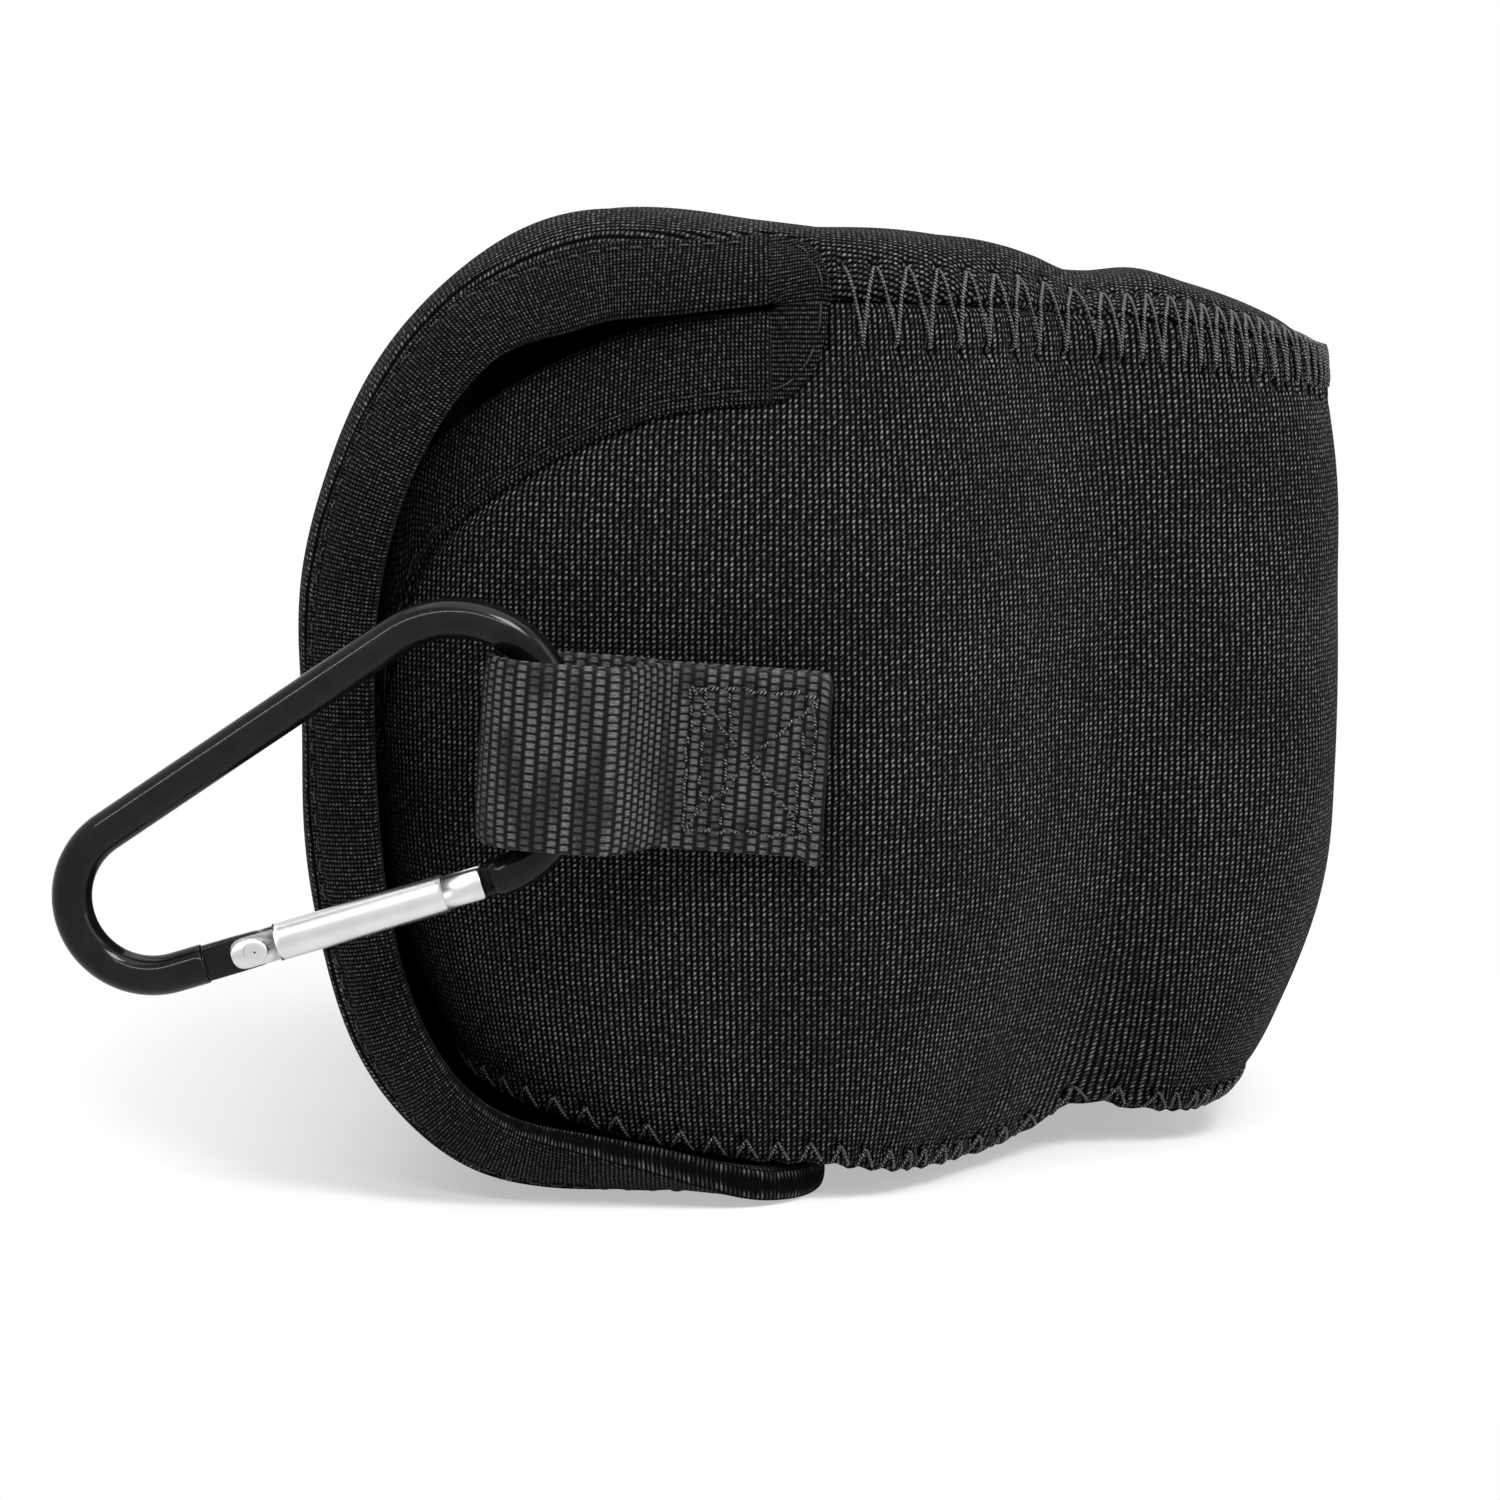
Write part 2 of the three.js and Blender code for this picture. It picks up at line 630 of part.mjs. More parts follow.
// Place and outward direction of the middle line; the line runs on straight past its ends.
function middleAt(length) {
  let i = 0;
  const last = middlePoints.length - 2;
  while (i < last && length > middleLengths[i + 1]) i++;
  const k = (length - middleLengths[i]) / (middleLengths[i + 1] - middleLengths[i]);
  const point = middlePoints[i].clone().lerp(middlePoints[i + 1], k);
  const before = middlePoints[Math.max(i - 1, 0)];
  const after = middlePoints[Math.min(i + 2, middlePoints.length - 1)];
  const here = middlePoints[i + 1].clone().sub(middlePoints[i]).normalize();
  const enter = middlePoints[i + 1].clone().sub(before).normalize();
  const leave = after.clone().sub(middlePoints[i]).normalize();
  const share = THREE.MathUtils.clamp(k, 0, 1);
  const tangent = enter.lerp(leave, share).normalize();
  if (k < 0 || k > 1) tangent.copy(here);
  return { point, normal: vec(tangent.z, 0, -tangent.x) };
}

const flapTurn = smoothThrough(flapStationShares.map((s, i) => [s, flapTurnShares[i]]));
const flapMargin = smoothThrough(flapStationShares.map((s, i) => [s, flapMargins[i]]));
const flapFlat = smoothThrough(flapStationShares.map((s, i) => [s, bodyHalfWidth - flapFlatInsets[i]]));

function flapSection(length) {
  const share = length / flapLength;
  const turn = flapTurn(share);
  const margin = flapMargin(share);
  const flat = flapFlat(share);
  return { turn, margin, flat, shape: marginShape(turn), total: flat + margin, ...middleAt(length) };
}

// A point of the flap at a length along, a length across, and a depth into the sheet.
function flapPoint(section, across, depth) {
  const place = acrossPanel(across, section.flat, section.margin, section.turn, section.shape);
  const normal = section.normal.clone().multiplyScalar(Math.cos(place.lean));
  normal.y += place.side * Math.sin(place.lean);
  const point = section.point.clone().addScaledVector(section.normal, -place.down);
  point.y = place.y;
  return point.addScaledVector(normal, -depth);
}

const tailStart = flapLength - tapeThickness - tapeGap; // the neoprene's own end, inside the fold
const edgeInset = tapeThickness + tapeGap;

function flapHalf(section) {
  return section.total - edgeInset;
}
function flapEdgeDistance(section, length, across) {
  return Math.min(tailStart - length, flapHalf(section) - Math.abs(across));
}

const tailRows = marginDistances.map((d) => tailStart - d).reverse();
const flapRows = [...spaced(seamGap / 2, tailRows[0], 42).slice(0, -1), ...tailRows];
const flatShares = [0, 0.25, 0.5, 0.72, 0.88, 1];
const flapOuter = [];
const flapInner = [];
for (const length of flapRows) {
  const section = flapSection(length);
  const half = flapHalf(section);
  const inner = half - marginDistances[marginDistances.length - 1];
  const widths = flatShares.map((s) => s * inner);
  for (const d of marginDistances.slice(0, -1).reverse()) widths.push(half - d);
  const all = [...widths.slice(1).reverse().map((w) => -w), ...widths];
  const outerRow = [];
  const innerRow = [];
  for (const across of all) {
    const distance = flapEdgeDistance(section, length, across);
    outerRow.push(flapPoint(section, across, pressOut(distance)));
    innerRow.push(flapPoint(section, across, pressIn(distance)));
  }
  flapOuter.push(outerRow);
  flapInner.push(innerRow);
}
const backFlap = slab(flapOuter, flapInner, false).geometry();

// Binding tapes: one folded profile, [distance from the neoprene's edge, depth] pairs

const foldOut = tapeThickness + tapeGap;
const legStops = [tapeWidth, tapeWidth / 2, 0];
const tapeProfile = [
  ...legStops.map((d) => [d, 0]),
  [-foldOut / 2, foldRound / 4],
  [-foldOut, foldRound],
  [-foldOut, tapeDepth - foldRound],
  [-foldOut / 2, tapeDepth - foldRound / 4],
  ...[...legStops].reverse().map((d) => [d, tapeDepth]),
  ...legStops.map((d) => [d, tapeDepth - tapeThickness]),
  [-tapeGap, tapeDepth - tapeThickness - tapeGap],
  [-tapeGap, tapeThickness + tapeGap],
  ...[...legStops].reverse().map((d) => [d, tapeThickness]),
];

// Mouth tape: on the wall's own columns, from one side of the hinge round the rear to the other.
const mouthLengths = [...rearColumns.slice(1).reverse().map((length) => -length), ...rearColumns];
const mouthRings = mouthLengths.map((length) => {
  const wall = wallAt(length);
  const stretch = Math.hypot(1, mouthSlope(length));
  return tapeProfile.map(([distance, depth]) => (
    wall.surfaceAt(mouthEdge(length) - distance * stretch).addScaledVector(wall.normal, -depth)
  ));
});
const mouthBinding = loft(mouthRings).geometry();

// Flap tape: down one side, round the tail's two mitred corners and up the other.
const cornerLength = tailStart - tapeWidth;
const tapeEnds = [seamGap * 2, cornerLength - tapeGap];
const sharedRows = flapRows.filter((k) => k > tapeEnds[0] + tapeGap && k < tapeEnds[1] - tapeGap);
const sideStops = [tapeEnds[0], ...sharedRows, tapeEnds[1]];
const tailReach = flapHalf(flapSection(tailStart));
const tailStops = spaced(tailReach - tapeWidth - tapeGap, 0, 5);

function flapSideRing(length, side) {
  const section = flapSection(length);
  return tapeProfile.map(([distance, depth]) => (
    flapPoint(section, side * (flapHalf(section) - distance), depth)
  ));
}
function flapCornerRing(side) {
  return tapeProfile.map(([distance, depth]) => {
    const section = flapSection(tailStart - distance);
    return flapPoint(section, side * (flapHalf(section) - distance), depth);
  });
}
function flapTailRing(across) {
  return tapeProfile.map(([distance, depth]) => (
    flapPoint(flapSection(tailStart - distance), across, depth)
  ));
}
const flapRings = [
  ...sideStops.map((length) => flapSideRing(length, -1)),
  flapCornerRing(-1),
  ...tailStops.map((across) => flapTailRing(-across)),
  ...tailStops.slice(0, -1).reverse().map((across) => flapTailRing(across)),
  flapCornerRing(1),
  ...[...sideStops].reverse().map((length) => flapSideRing(length, 1)),
];
const flapBinding = loft(flapRings).geometry();

// Hook-and-loop patches

function roundedSlab(length, width, thickness, corner) {
  const shape = new THREE.Shape();
  const x = length / 2;
  const y = width / 2;
  shape.moveTo(x - corner, -y);
  shape.absarc(x - corner, corner - y, corner, -Math.PI / 2, 0, false);
  shape.absarc(x - corner, y - corner, corner, 0, Math.PI / 2, false);
  shape.absarc(corner - x, y - corner, corner, Math.PI / 2, Math.PI, false);
  shape.absarc(corner - x, corner - y, corner, Math.PI, (3 * Math.PI) / 2, false);
  const depth = thickness;
  const geometry = new THREE.ExtrudeGeometry(shape, { depth, bevelEnabled: false, curveSegments: 6 });
  return welded(geometry);
}

const hookPatch = roundedSlab(patch.length, patch.width, patch.thickness, patch.corner);
hookPatch.translate(patch.frontX - patch.length / 2, 0, neoprene + seamGap);
const loopPatch = roundedSlab(patch.length, patch.width, patch.thickness, patch.corner);
loopPatch.translate(-patch.length / 2, 0, 0);
loopPatch.rotateY(Math.atan(loopPatchFallShare));
loopPatch.translate(patch.frontX, 0, loopPatchFrontZ);

// Webbing loop: one strap, folded on itself and sewn to the wall

const half = webbing.thickness / 2;
const innerLegY = -(bodyHalfWidth + webbing.ply + half);
const outerLegY = innerLegY - webbing.thickness - webbing.ply;
const bendRadius = loopInner + half;
const loopLegY = -(halfWidthAt(loopOpenX) + webbing.ply + half);
const bendY = loopLegY - bendRadius;
const strap = [];
for (const k of spaced(0, 1, 4)) {
  strap.push(new THREE.Vector2(webbing.endX + (webbing.sewnX - webbing.endX) * k, innerLegY));
}
for (const k of spaced(0, 1, 7).slice(1)) {
  const x = webbing.sewnX + (loopOpenX - webbing.sewnX) * k;
  strap.push(new THREE.Vector2(x, innerLegY + (loopLegY - innerLegY) * smoothstep(k)));
}
for (const angle of spaced(Math.PI / 2, (3 * Math.PI) / 2, 17)) {
  const x = loopBendX + bendRadius * Math.cos(angle);
  strap.push(new THREE.Vector2(x, bendY + bendRadius * Math.sin(angle)));
}
for (const k of spaced(1, 0, 7)) {
  const x = webbing.sewnX + (loopOpenX - webbing.sewnX) * k;
  strap.push(new THREE.Vector2(x, outerLegY + (bendY - bendRadius - outerLegY) * smoothstep(k)));
}
for (const k of spaced(1, 0, 4).slice(1)) {
  strap.push(new THREE.Vector2(webbing.endX + (webbing.sewnX - webbing.endX) * k, outerLegY));
}
const strapSides = [[], []];
strap.forEach((point, i) => {
  const before = strap[Math.max(i - 1, 0)];
  const after = strap[Math.min(i + 1, strap.length - 1)];
  const direction = after.clone().sub(before).normalize();
  const normal = new THREE.Vector2(-direction.y, direction.x);
  strapSides[0].push(point.clone().addScaledVector(normal, half));
  strapSides[1].push(point.clone().addScaledVector(normal, -half));
});
const strapShape = new THREE.Shape([...strapSides[0], ...strapSides[1].reverse()]);
const webbingGeometry = new THREE.ExtrudeGeometry(strapShape, { depth: webbing.width, bevelEnabled: false });
const webbingLoop = welded(webbingGeometry);
webbingLoop.translate(-webbing.middleX, 0, -webbing.width / 2);
webbingLoop.rotateY(webbingTilt);
webbingLoop.translate(webbing.middleX, 0, webbing.middleZ);

// Carabiner, in its own plane: local x along the gate, local z to the spine

const toPlace = new THREE.Matrix4()
  .makeTranslation(
    loopBendX - carabinerHang.behind,
    bendY,
    webbing.middleZ + webbing.width / 2 - carabinerHang.below,
  )
  .multiply(new THREE.Matrix4().makeRotationY(-carabinerTilt));

const centreGap = Math.hypot(bigUpper.x - smallEnd.x, bigUpper.z - smallEnd.z);
const centreAngle = Math.atan2(bigUpper.z - smallEnd.z, bigUpper.x - smallEnd.x);
const spineAngle = centreAngle + Math.acos(-(bigUpper.r - smallEnd.r) / centreGap);
const rodPath = [];
const arcTo = (circle, start, end, count) => {
  for (const angle of spaced(start, end, count)) {
    rodPath.push(vec(circle.x + circle.r * Math.cos(angle), 0, circle.z + circle.r * Math.sin(angle)));
  }
};
rodPath.push(vec(tongue.start, 0, 0));
arcTo(smallEnd, -Math.PI / 2, spineAngle - 2 * Math.PI, 17);
for (const k of [1 / 4, 1 / 2, 3 / 4]) {
  const start = rodPath[17];
  const end = vec(
    bigUpper.x + bigUpper.r * Math.cos(spineAngle),
    0,
    bigUpper.z + bigUpper.r * Math.sin(spineAngle),
  );
  rodPath.push(start.clone().lerp(end, k));
}
arcTo(bigUpper, spineAngle, 0, 13);
arcTo(bigLower, 0, -Math.PI / 2, 11);

function rodRings(path, radius, sides) {
  return path.map((point, i) => {
    const before = path[Math.max(i - 1, 0)];
    const after = path[Math.min(i + 1, path.length - 1)];
    const tangent = after.clone().sub(before).normalize();
    const across = vec(tangent.z, 0, -tangent.x);
    return Array.from({ length: sides }, (_, j) => {
      const angle = (2 * Math.PI * (j + 1 / 2)) / sides;
      return point.clone().addScaledVector(across, radius * Math.cos(angle))
        .add(vec(0, radius * Math.sin(angle), 0));
    });
  });
}

function box(length, width, height) {
  return solidOf(new THREE.BoxGeometry(length, width, height));
}
function plate(start, end, height, thickness) {
  return box(end - start, thickness, height).translate([(start + end) / 2, 0, 0]);
}
function crossPin(radius, length, sides) {
  return solidOf(new THREE.CylinderGeometry(radius, radius, length, sides));
}
function alongGate(frontRadius, backRadius, start, end, sides) {
  const round = new THREE.CylinderGeometry(backRadius, frontRadius, end - start, sides);
  return solidOf(round.rotateZ(-Math.PI / 2).translate((start + end) / 2, 0, 0));
}

const pivotHole = crossPin(pivotPin.radius + runningClearance, 4 * rod, smallRoundSides);
const rodSolid = loft(rodRings(rodPath, rod, rodSides)).solid();
const tongueSolid = plate(tongue.root, 0, tongue.height, tongue.thickness)
  .add(crossPin(tongue.overhang, tongue.thickness, roundSides))
  .subtract(pivotHole);
const noseSolid = plate(nose.tip, nose.root, nose.height, tongue.thickness)
  .subtract(
    box(nose.throat, 4 * rod, nose.height)
      .translate([latchPin.x, 0, nose.height / 2 - latchPin.radius - runningClearance]),
  );
const frameSolid = rodSolid.add(tongueSolid).add(noseSolid);
const carabinerFrame = fromSolid(frameSolid).applyMatrix4(toPlace);

// Gate tube with a slot at each end

const tube = alongGate(gate.radius, gate.radius, gate.start, gate.end, roundSides);
const bore = alongGate(gateBore.radius, gateBore.radius, gate.start - overrun, gateBore.end, smallRoundSides);
const slotHeight = 2 * gate.radius + overrun;
const pivotSlot = box(gate.pivotSlot + overrun, gate.slot, slotHeight)
  .translate([gate.start + (gate.pivotSlot - overrun) / 2, 0, 0]);
const noseSlot = box(gate.noseSlot + overrun, gate.slot, slotHeight)
  .translate([gate.end - (gate.noseSlot - overrun) / 2, 0, 0]);
const latchHole = crossPin(latchPin.radius + runningClearance, 4 * rod, smallRoundSides)
  .translate([latchPin.x, 0, 0]);
const gateSolid = tube.subtract(bore).subtract(pivotSlot).subtract(noseSlot)
  .subtract(pivotHole).subtract(latchHole);
const carabinerGate = fromSolid(gateSolid).applyMatrix4(toPlace);

// Pins

const pivotHalf = gate.radius + pivotPin.over;
const headAt = (side) => crossPin(pivotPin.head, pivotPin.headThickness, roundSides)
  .translate([0, side * (pivotHalf + pivotPin.headThickness / 2), 0]);
const pivotSolid = crossPin(pivotPin.radius, 2 * pivotHalf, smallRoundSides).add(headAt(-1)).add(headAt(1));
const pivotPinGeometry = fromSolid(pivotSolid).applyMatrix4(toPlace);
const latchSolid = crossPin(latchPin.radius, 2 * (gate.radius - runningClearance), smallRoundSides)
  .translate([latchPin.x, 0, 0]);
const latchPinGeometry = fromSolid(latchSolid).applyMatrix4(toPlace);

// Spring and plunger inside the tube

const coilSteps = 8;
const coilSides = 5;
const coil = [];
for (let i = 0; i <= spring.turns * coilSteps; i++) {
  const angle = (2 * Math.PI * i) / coilSteps;
  const x = spring.start + (spring.length * i) / (spring.turns * coilSteps);
  coil.push(vec(x, spring.radius * Math.cos(angle), spring.radius * Math.sin(angle)));
}
const coilRings = coil.map((point, i) => {
  const before = coil[Math.max(i - 1, 0)];
  const after = coil[Math.min(i + 1, coil.length - 1)];
  const tangent = after.clone().sub(before).normalize();
  const radial = vec(0, point.y, point.z).normalize();
  const binormal = new THREE.Vector3().crossVectors(tangent, radial).normalize();
  return Array.from({ length: coilSides }, (_, j) => {
    const angle = (2 * Math.PI * j) / coilSides;
    return point.clone().addScaledVector(radial, spring.wire * Math.cos(angle))
      .addScaledVector(binormal, spring.wire * Math.sin(angle));
  });
});
const gateSpring = loft(coilRings).geometry().applyMatrix4(toPlace);
const plungerEnd = plunger.start + plunger.length;
const shoulder = plunger.start + plunger.nose;
const plungerBody = alongGate(plunger.radius, plunger.radius, shoulder, plungerEnd, smallRoundSides);
const plungerTip = plunger.radius - plunger.nose;
const plungerNose = alongGate(plungerTip, plunger.radius, plunger.start, shoulder, smallRoundSides);
const springPlunger = fromSolid(plungerBody.add(plungerNose)).applyMatrix4(toPlace);

// Assembly

const knit = { color: 0x2b2b2d, roughness: 0.95, metalness: 0 };
const tape = { color: 0x1d1d1f, roughness: 0.85, metalness: 0 };
const woven = { color: 0x232325, roughness: 0.7, metalness: 0 };
const hookTape = { color: 0x18181a, roughness: 0.9, metalness: 0 };
const blackMetal = { color: 0x111113, roughness: 0.25, metalness: 0.6 };
const satinMetal = { color: 0xb9babc, roughness: 0.35, metalness: 0.9 };
const springSteel = { color: 0x8f9093, roughness: 0.3, metalness: 1 };

const group = new THREE.Group();
group.name = "neoprene_camera_pouch";

function piece(name, geometry, material) {
  const flat = geometry.toNonIndexed();
  flat.computeVertexNormals();
  const mesh = new THREE.Mesh(flat, new THREE.MeshStandardMaterial(material));
  mesh.name = name;
  group.add(mesh);
}

piece("wrap_panel", wrapPanel, knit);
piece("top_panel", topPanel, knit);
piece("bottom_panel", bottomPanel, knit);
piece("mouth_binding", mouthBinding, tape);
piece("loop_patch", loopPatch, hookTape);
piece("webbing_loop", webbingLoop, woven);
piece("back_flap", backFlap, knit);
piece("flap_binding", flapBinding, tape);
piece("hook_patch", hookPatch, hookTape);
piece("carabiner_frame", carabinerFrame, blackMetal);
piece("pivot_pin", pivotPinGeometry, satinMetal);
piece("carabiner_gate", carabinerGate, satinMetal);
piece("latch_pin", latchPinGeometry, satinMetal);
piece("gate_spring", gateSpring, springSteel);
piece("spring_plunger", springPlunger, satinMetal);

export default group;
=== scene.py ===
"""A neoprene camera pouch, dressed over its CAD frame: knit skins, tapes, seams, webbing and carabiner."""

import math

import bpy
import numpy as np
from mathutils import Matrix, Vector


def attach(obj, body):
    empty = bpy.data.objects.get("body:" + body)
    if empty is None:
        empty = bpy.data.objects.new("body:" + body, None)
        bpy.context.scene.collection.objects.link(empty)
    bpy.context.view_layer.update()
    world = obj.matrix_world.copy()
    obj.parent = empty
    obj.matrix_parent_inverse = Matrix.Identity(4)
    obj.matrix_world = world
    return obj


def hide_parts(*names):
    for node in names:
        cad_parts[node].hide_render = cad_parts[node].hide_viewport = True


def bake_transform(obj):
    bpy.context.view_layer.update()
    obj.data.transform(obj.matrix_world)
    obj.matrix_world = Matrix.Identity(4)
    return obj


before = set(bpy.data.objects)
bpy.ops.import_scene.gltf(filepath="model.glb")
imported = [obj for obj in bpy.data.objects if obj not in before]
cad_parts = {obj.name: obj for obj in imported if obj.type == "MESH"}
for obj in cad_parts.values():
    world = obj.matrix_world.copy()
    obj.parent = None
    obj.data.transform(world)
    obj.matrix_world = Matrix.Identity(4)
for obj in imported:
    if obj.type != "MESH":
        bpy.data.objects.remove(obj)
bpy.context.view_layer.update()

bl_info = {
    "name": "Neoprene camera pouch",
    "version": (1, 0, 0),
    "blender": (4, 5, 0),
    "location": "3D View > Sidebar > Pouch",
    "description": "Builds the skins, seams, webbing and carabiner of a knit-covered camera pouch",
    "category": "Add Mesh",
}

MM = 0.001

# Sizes of the pouch in millimetres, as in its CAD source but for the flap's folds and rounded tail

PLAN = [
    (-45, 0), (-44.7, 22), (-43.4, 40), (-39.6, 51), (-32, 57.6), (-20, 61.9), (-6, 64.4), (5, 65),
    (14, 64.2), (22, 61), (29, 55), (35, 48.2), (41, 43.2), (47, 41.4), (53, 40.4), (59.4, 37.8),
    (65.1, 32.6), (68.7, 25), (70.4, 14), (70.8, 0),
]
BODY_HALF_WIDTH = 65
HINGE_X = 8
HINGE_Z = 107.5
NEOPRENE = 3
SEAM_GAP = 0.3
TOP_MIDDLE_DROPS = [
    (8, 0), (15, 0.3), (24, 1.2), (32, 3.1), (37, 4.9), (42, 5.3), (46, 5), (53, 6.9),
    (60, 9.3), (64, 11.6), (66.5, 13.4), (68.4, 14.2),
]
TOP_SEAM_DROPS = [
    (-46, 7.6), (8, 7.6), (20, 7.9), (27, 8.3), (38, 9.4), (48.5, 10.6), (57, 11.8), (68.4, 14.3),
]
MOUTH_DROPS = [
    (-45, 46.5), (-43.4, 43.5), (-41.8, 38.5), (-40.3, 31.5), (-37.5, 25.1), (-33, 20.6),
    (-25.8, 16), (-17, 11.9), (-10, 9.8), (-2, 8.8), (7.4, 8.5),
]
BOTTOM_SEAM = [
    (8, 4.5), (14, 3.4), (20, 2.5), (26, 2.3), (31, 3), (35, 4.4), (38, 5.6), (41, 5.4), (46, 4.3),
    (52, 4), (58, 5.3),
]
TAIL_CLEARANCE = 4.5
BOTTOM_DISH = 1.6
BOTTOM_SAG = 1.8
DISH_END_X = 9
SAG_START_X = 24
BOTTOM_CROWN = 20
BOTTOM_MIDDLE = (-8, 32)
TOP_PULL = {"rear": 5, "side": 6, "front": 2.5}
BOTTOM_PULL = {"rear": 11, "side": 8, "lens": 13, "front": 12}
LENS_PULL_X = (30, 46)
PULL_POWER = 2.6
TURN_POWER = 1.5
TOP_MARGIN = 14.4
FRONT_ROW_HALF_WIDTH = 16
FLAP_TOP = (-14, HINGE_Z + 2.3)
FLAP_REAR = {"reach": 36.1, "z": 60}
FLAP_POWERS = {"upper": 2, "lower": 2.8}
FLAP_STATIONS = [0, 0.1, 0.16, 0.24, 0.5, 0.68, 0.78, 0.845, 0.89, 0.93, 0.965, 1]
FLAP_TURNS = [1, 1, 1, 1, 1, 0.98, 0.9, 0.74, 0.5, 0.26, 0.09, 0.01]
FLAP_MARGINS = [14.4, 22.3, 23.5, 19.5, 18, 18, 18, 18, 17.6, 17, 16.4, 16]
FLAP_FLATS = [48.7, 45.6, 44.8, 47.9, 49.6, 49.6, 48.9, 47, 45.4, 44.3, 44, 44]
TAIL_END_X = 8.5
TAIL_CORNER = 12
TAPE_WIDTH = 9
TAPE_THICKNESS = 0.6
TAPE_GAP = 0.3
PRESSED_EDGE = 1.7
TAPE_DEPTH = 2 * (TAPE_THICKNESS + TAPE_GAP) + PRESSED_EDGE
PATCH = {"length": 15, "width": 50, "thickness": 1, "corner": 4, "front": -3}
LOOP_PATCH_FALL = 0.161
LOOP_PATCH_FRONT_Z = 4.95
WEBBING = {"width": 20, "thickness": 1.4, "middle": (-10, 51.85), "end": 8.5, "sewn": -8.5, "ply": 0.3}
WEBBING_TILT = math.radians(4)
LOOP_INNER = 5.6
LOOP_BEND_X = -21.8
LOOP_OPEN_X = -15.5
LOOP_LEG_Y = -63.935
LOOP_BEND_Y = LOOP_LEG_Y - LOOP_INNER - WEBBING["thickness"] / 2
ROD = 2.15
ROD_BEVEL = 0.35
BIG_LOWER = (26.5, 12, 12)
BIG_UPPER = (27.5, 17.4, 11)
SMALL_END = (-9.2, 8.5, 8.5)
TONGUE = {"thickness": 1.7, "start": -5.6, "root": -9.2, "shoulder": -2.4, "height": 3.9, "overhang": 1.9}
NOSE = {"tip": 22.1, "root": 27.4, "height": 3.2, "throat": 1.5}
CARABINER_TILT = math.radians(16.5)
CARABINER_PLACE = (-52.7, LOOP_BEND_Y, 31.3)
GATE = {"radius": 2.05, "start": -2.6, "end": 25.2, "slot": 2.3, "pivot_slot": 4.9, "nose_slot": 4.2}
PIVOT_PIN = {"radius": 0.8, "head": 1.3, "head_thickness": 0.35, "over": 0.1}
LATCH_PIN = {"radius": 0.55, "x": 23.6}


class Link:
    """A node's output that Python's operators turn into Math nodes."""

    def __init__(self, finish, socket):
        self.finish = finish
        self.socket = socket

    def maths(self, operation, *values):
        return self.finish.node("ShaderNodeMath", {"operation": operation}, values)

    def output(self, name):
        return Link(self.finish, self.socket.node.outputs[name])

    def __add__(self, other):
        return self.maths("ADD", self, other)

    def __radd__(self, other):
        return self.maths("ADD", other, self)

    def __sub__(self, other):
        return self.maths("SUBTRACT", self, other)

    def __rsub__(self, other):
        return self.maths("SUBTRACT", other, self)

    def __mul__(self, other):
        return self.maths("MULTIPLY", self, other)

    def __rmul__(self, other):
        return self.maths("MULTIPLY", other, self)

    def __truediv__(self, other):
        return self.maths("DIVIDE", self, other)

    def __pow__(self, other):
        return self.maths("POWER", self, other)

    def __abs__(self):
        return self.maths("ABSOLUTE", self)

    def fraction(self):
        return self.maths("FRACT", self)

    def sine(self):
        return self.maths("SINE", self)

    def least(self, other):
        return self.maths("MINIMUM", self, other)

    def most(self, other):
        return self.maths("MAXIMUM", self, other)

    def between(self, low, high, start=0.0, end=1.0):
        """Start at low, end at high, and a smooth way between them."""
        settings = {"interpolation_type": "SMOOTHSTEP"}
        return self.finish.node("ShaderNodeMapRange", settings, (self, low, high, start, end))


class Finish:
    """A material whose nodes are added in code."""

    def __init__(self, name, world=None, end="ShaderNodeOutputMaterial"):
        self.material = world or bpy.data.materials.new(name)
        self.material.use_nodes = True
        self.tree = self.material.node_tree
        self.tree.nodes.clear()
        self.end = self.tree.nodes.new(end)

    def node(self, kind, settings=None, values=(), output=0):
        node = self.tree.nodes.new(kind)
        for key, value in (settings or {}).items():
            if key == "stops":
                ramp = node.color_ramp
                while len(ramp.elements) < len(value):
                    ramp.elements.new(0.5)
                for element, (place, colour) in zip(ramp.elements, value):
                    element.position = place
                    element.color = (*colour, 1)
            else:
                setattr(node, key, value)
        pairs = values.items() if isinstance(values, dict) else enumerate(values)
        for key, value in pairs:
            if isinstance(value, Link):
                self.tree.links.new(value.socket, node.inputs[key])
            else:
                node.inputs[key].default_value = value
        return Link(self, node.outputs[output])

    def mix(self, share, first, second, blend="MIX"):
        settings = {"data_type": "RGBA", "blend_type": blend}
        return self.node("ShaderNodeMix", settings, {0: share, 6: first, 7: second}, 2)

    def vector(self, operation, *values):
        return self.node("ShaderNodeVectorMath", {"operation": operation}, values)

    def parts(self, vector):
        split = self.node("ShaderNodeSeparateXYZ", None, (vector,))
        return split, split.output("Y"), split.output("Z")

    def joined(self, x, y, z=0.0):
        return self.node("ShaderNodeCombineXYZ", None, (x, y, z))

    def noise(self, vector, scale, detail=2.0, roughness=0.5):
        values = {"Vector": vector, "Scale": scale, "Detail": detail, "Roughness": roughness}
        return self.node("ShaderNodeTexNoise", None, values)

    def place(self):
        """The piece's own coordinates, in metres."""
        return self.node("ShaderNodeTexCoord", None, (), "Object")

    def cloth(self):
        """Millimetres across and along the cloth, kept on the mesh."""
        settings = {"attribute_type": "GEOMETRY", "attribute_name": "cloth"}
        return self.node("ShaderNodeAttribute", settings, (), "Vector")

    def bump(self, height, strength, distance):
        values = {"Height": height, "Strength": strength, "Distance": distance}
        return self.node("ShaderNodeBump", None, values)

    def close(self, shader):
        self.tree.links.new(shader.socket, self.end.inputs["Surface"])
        return self.material


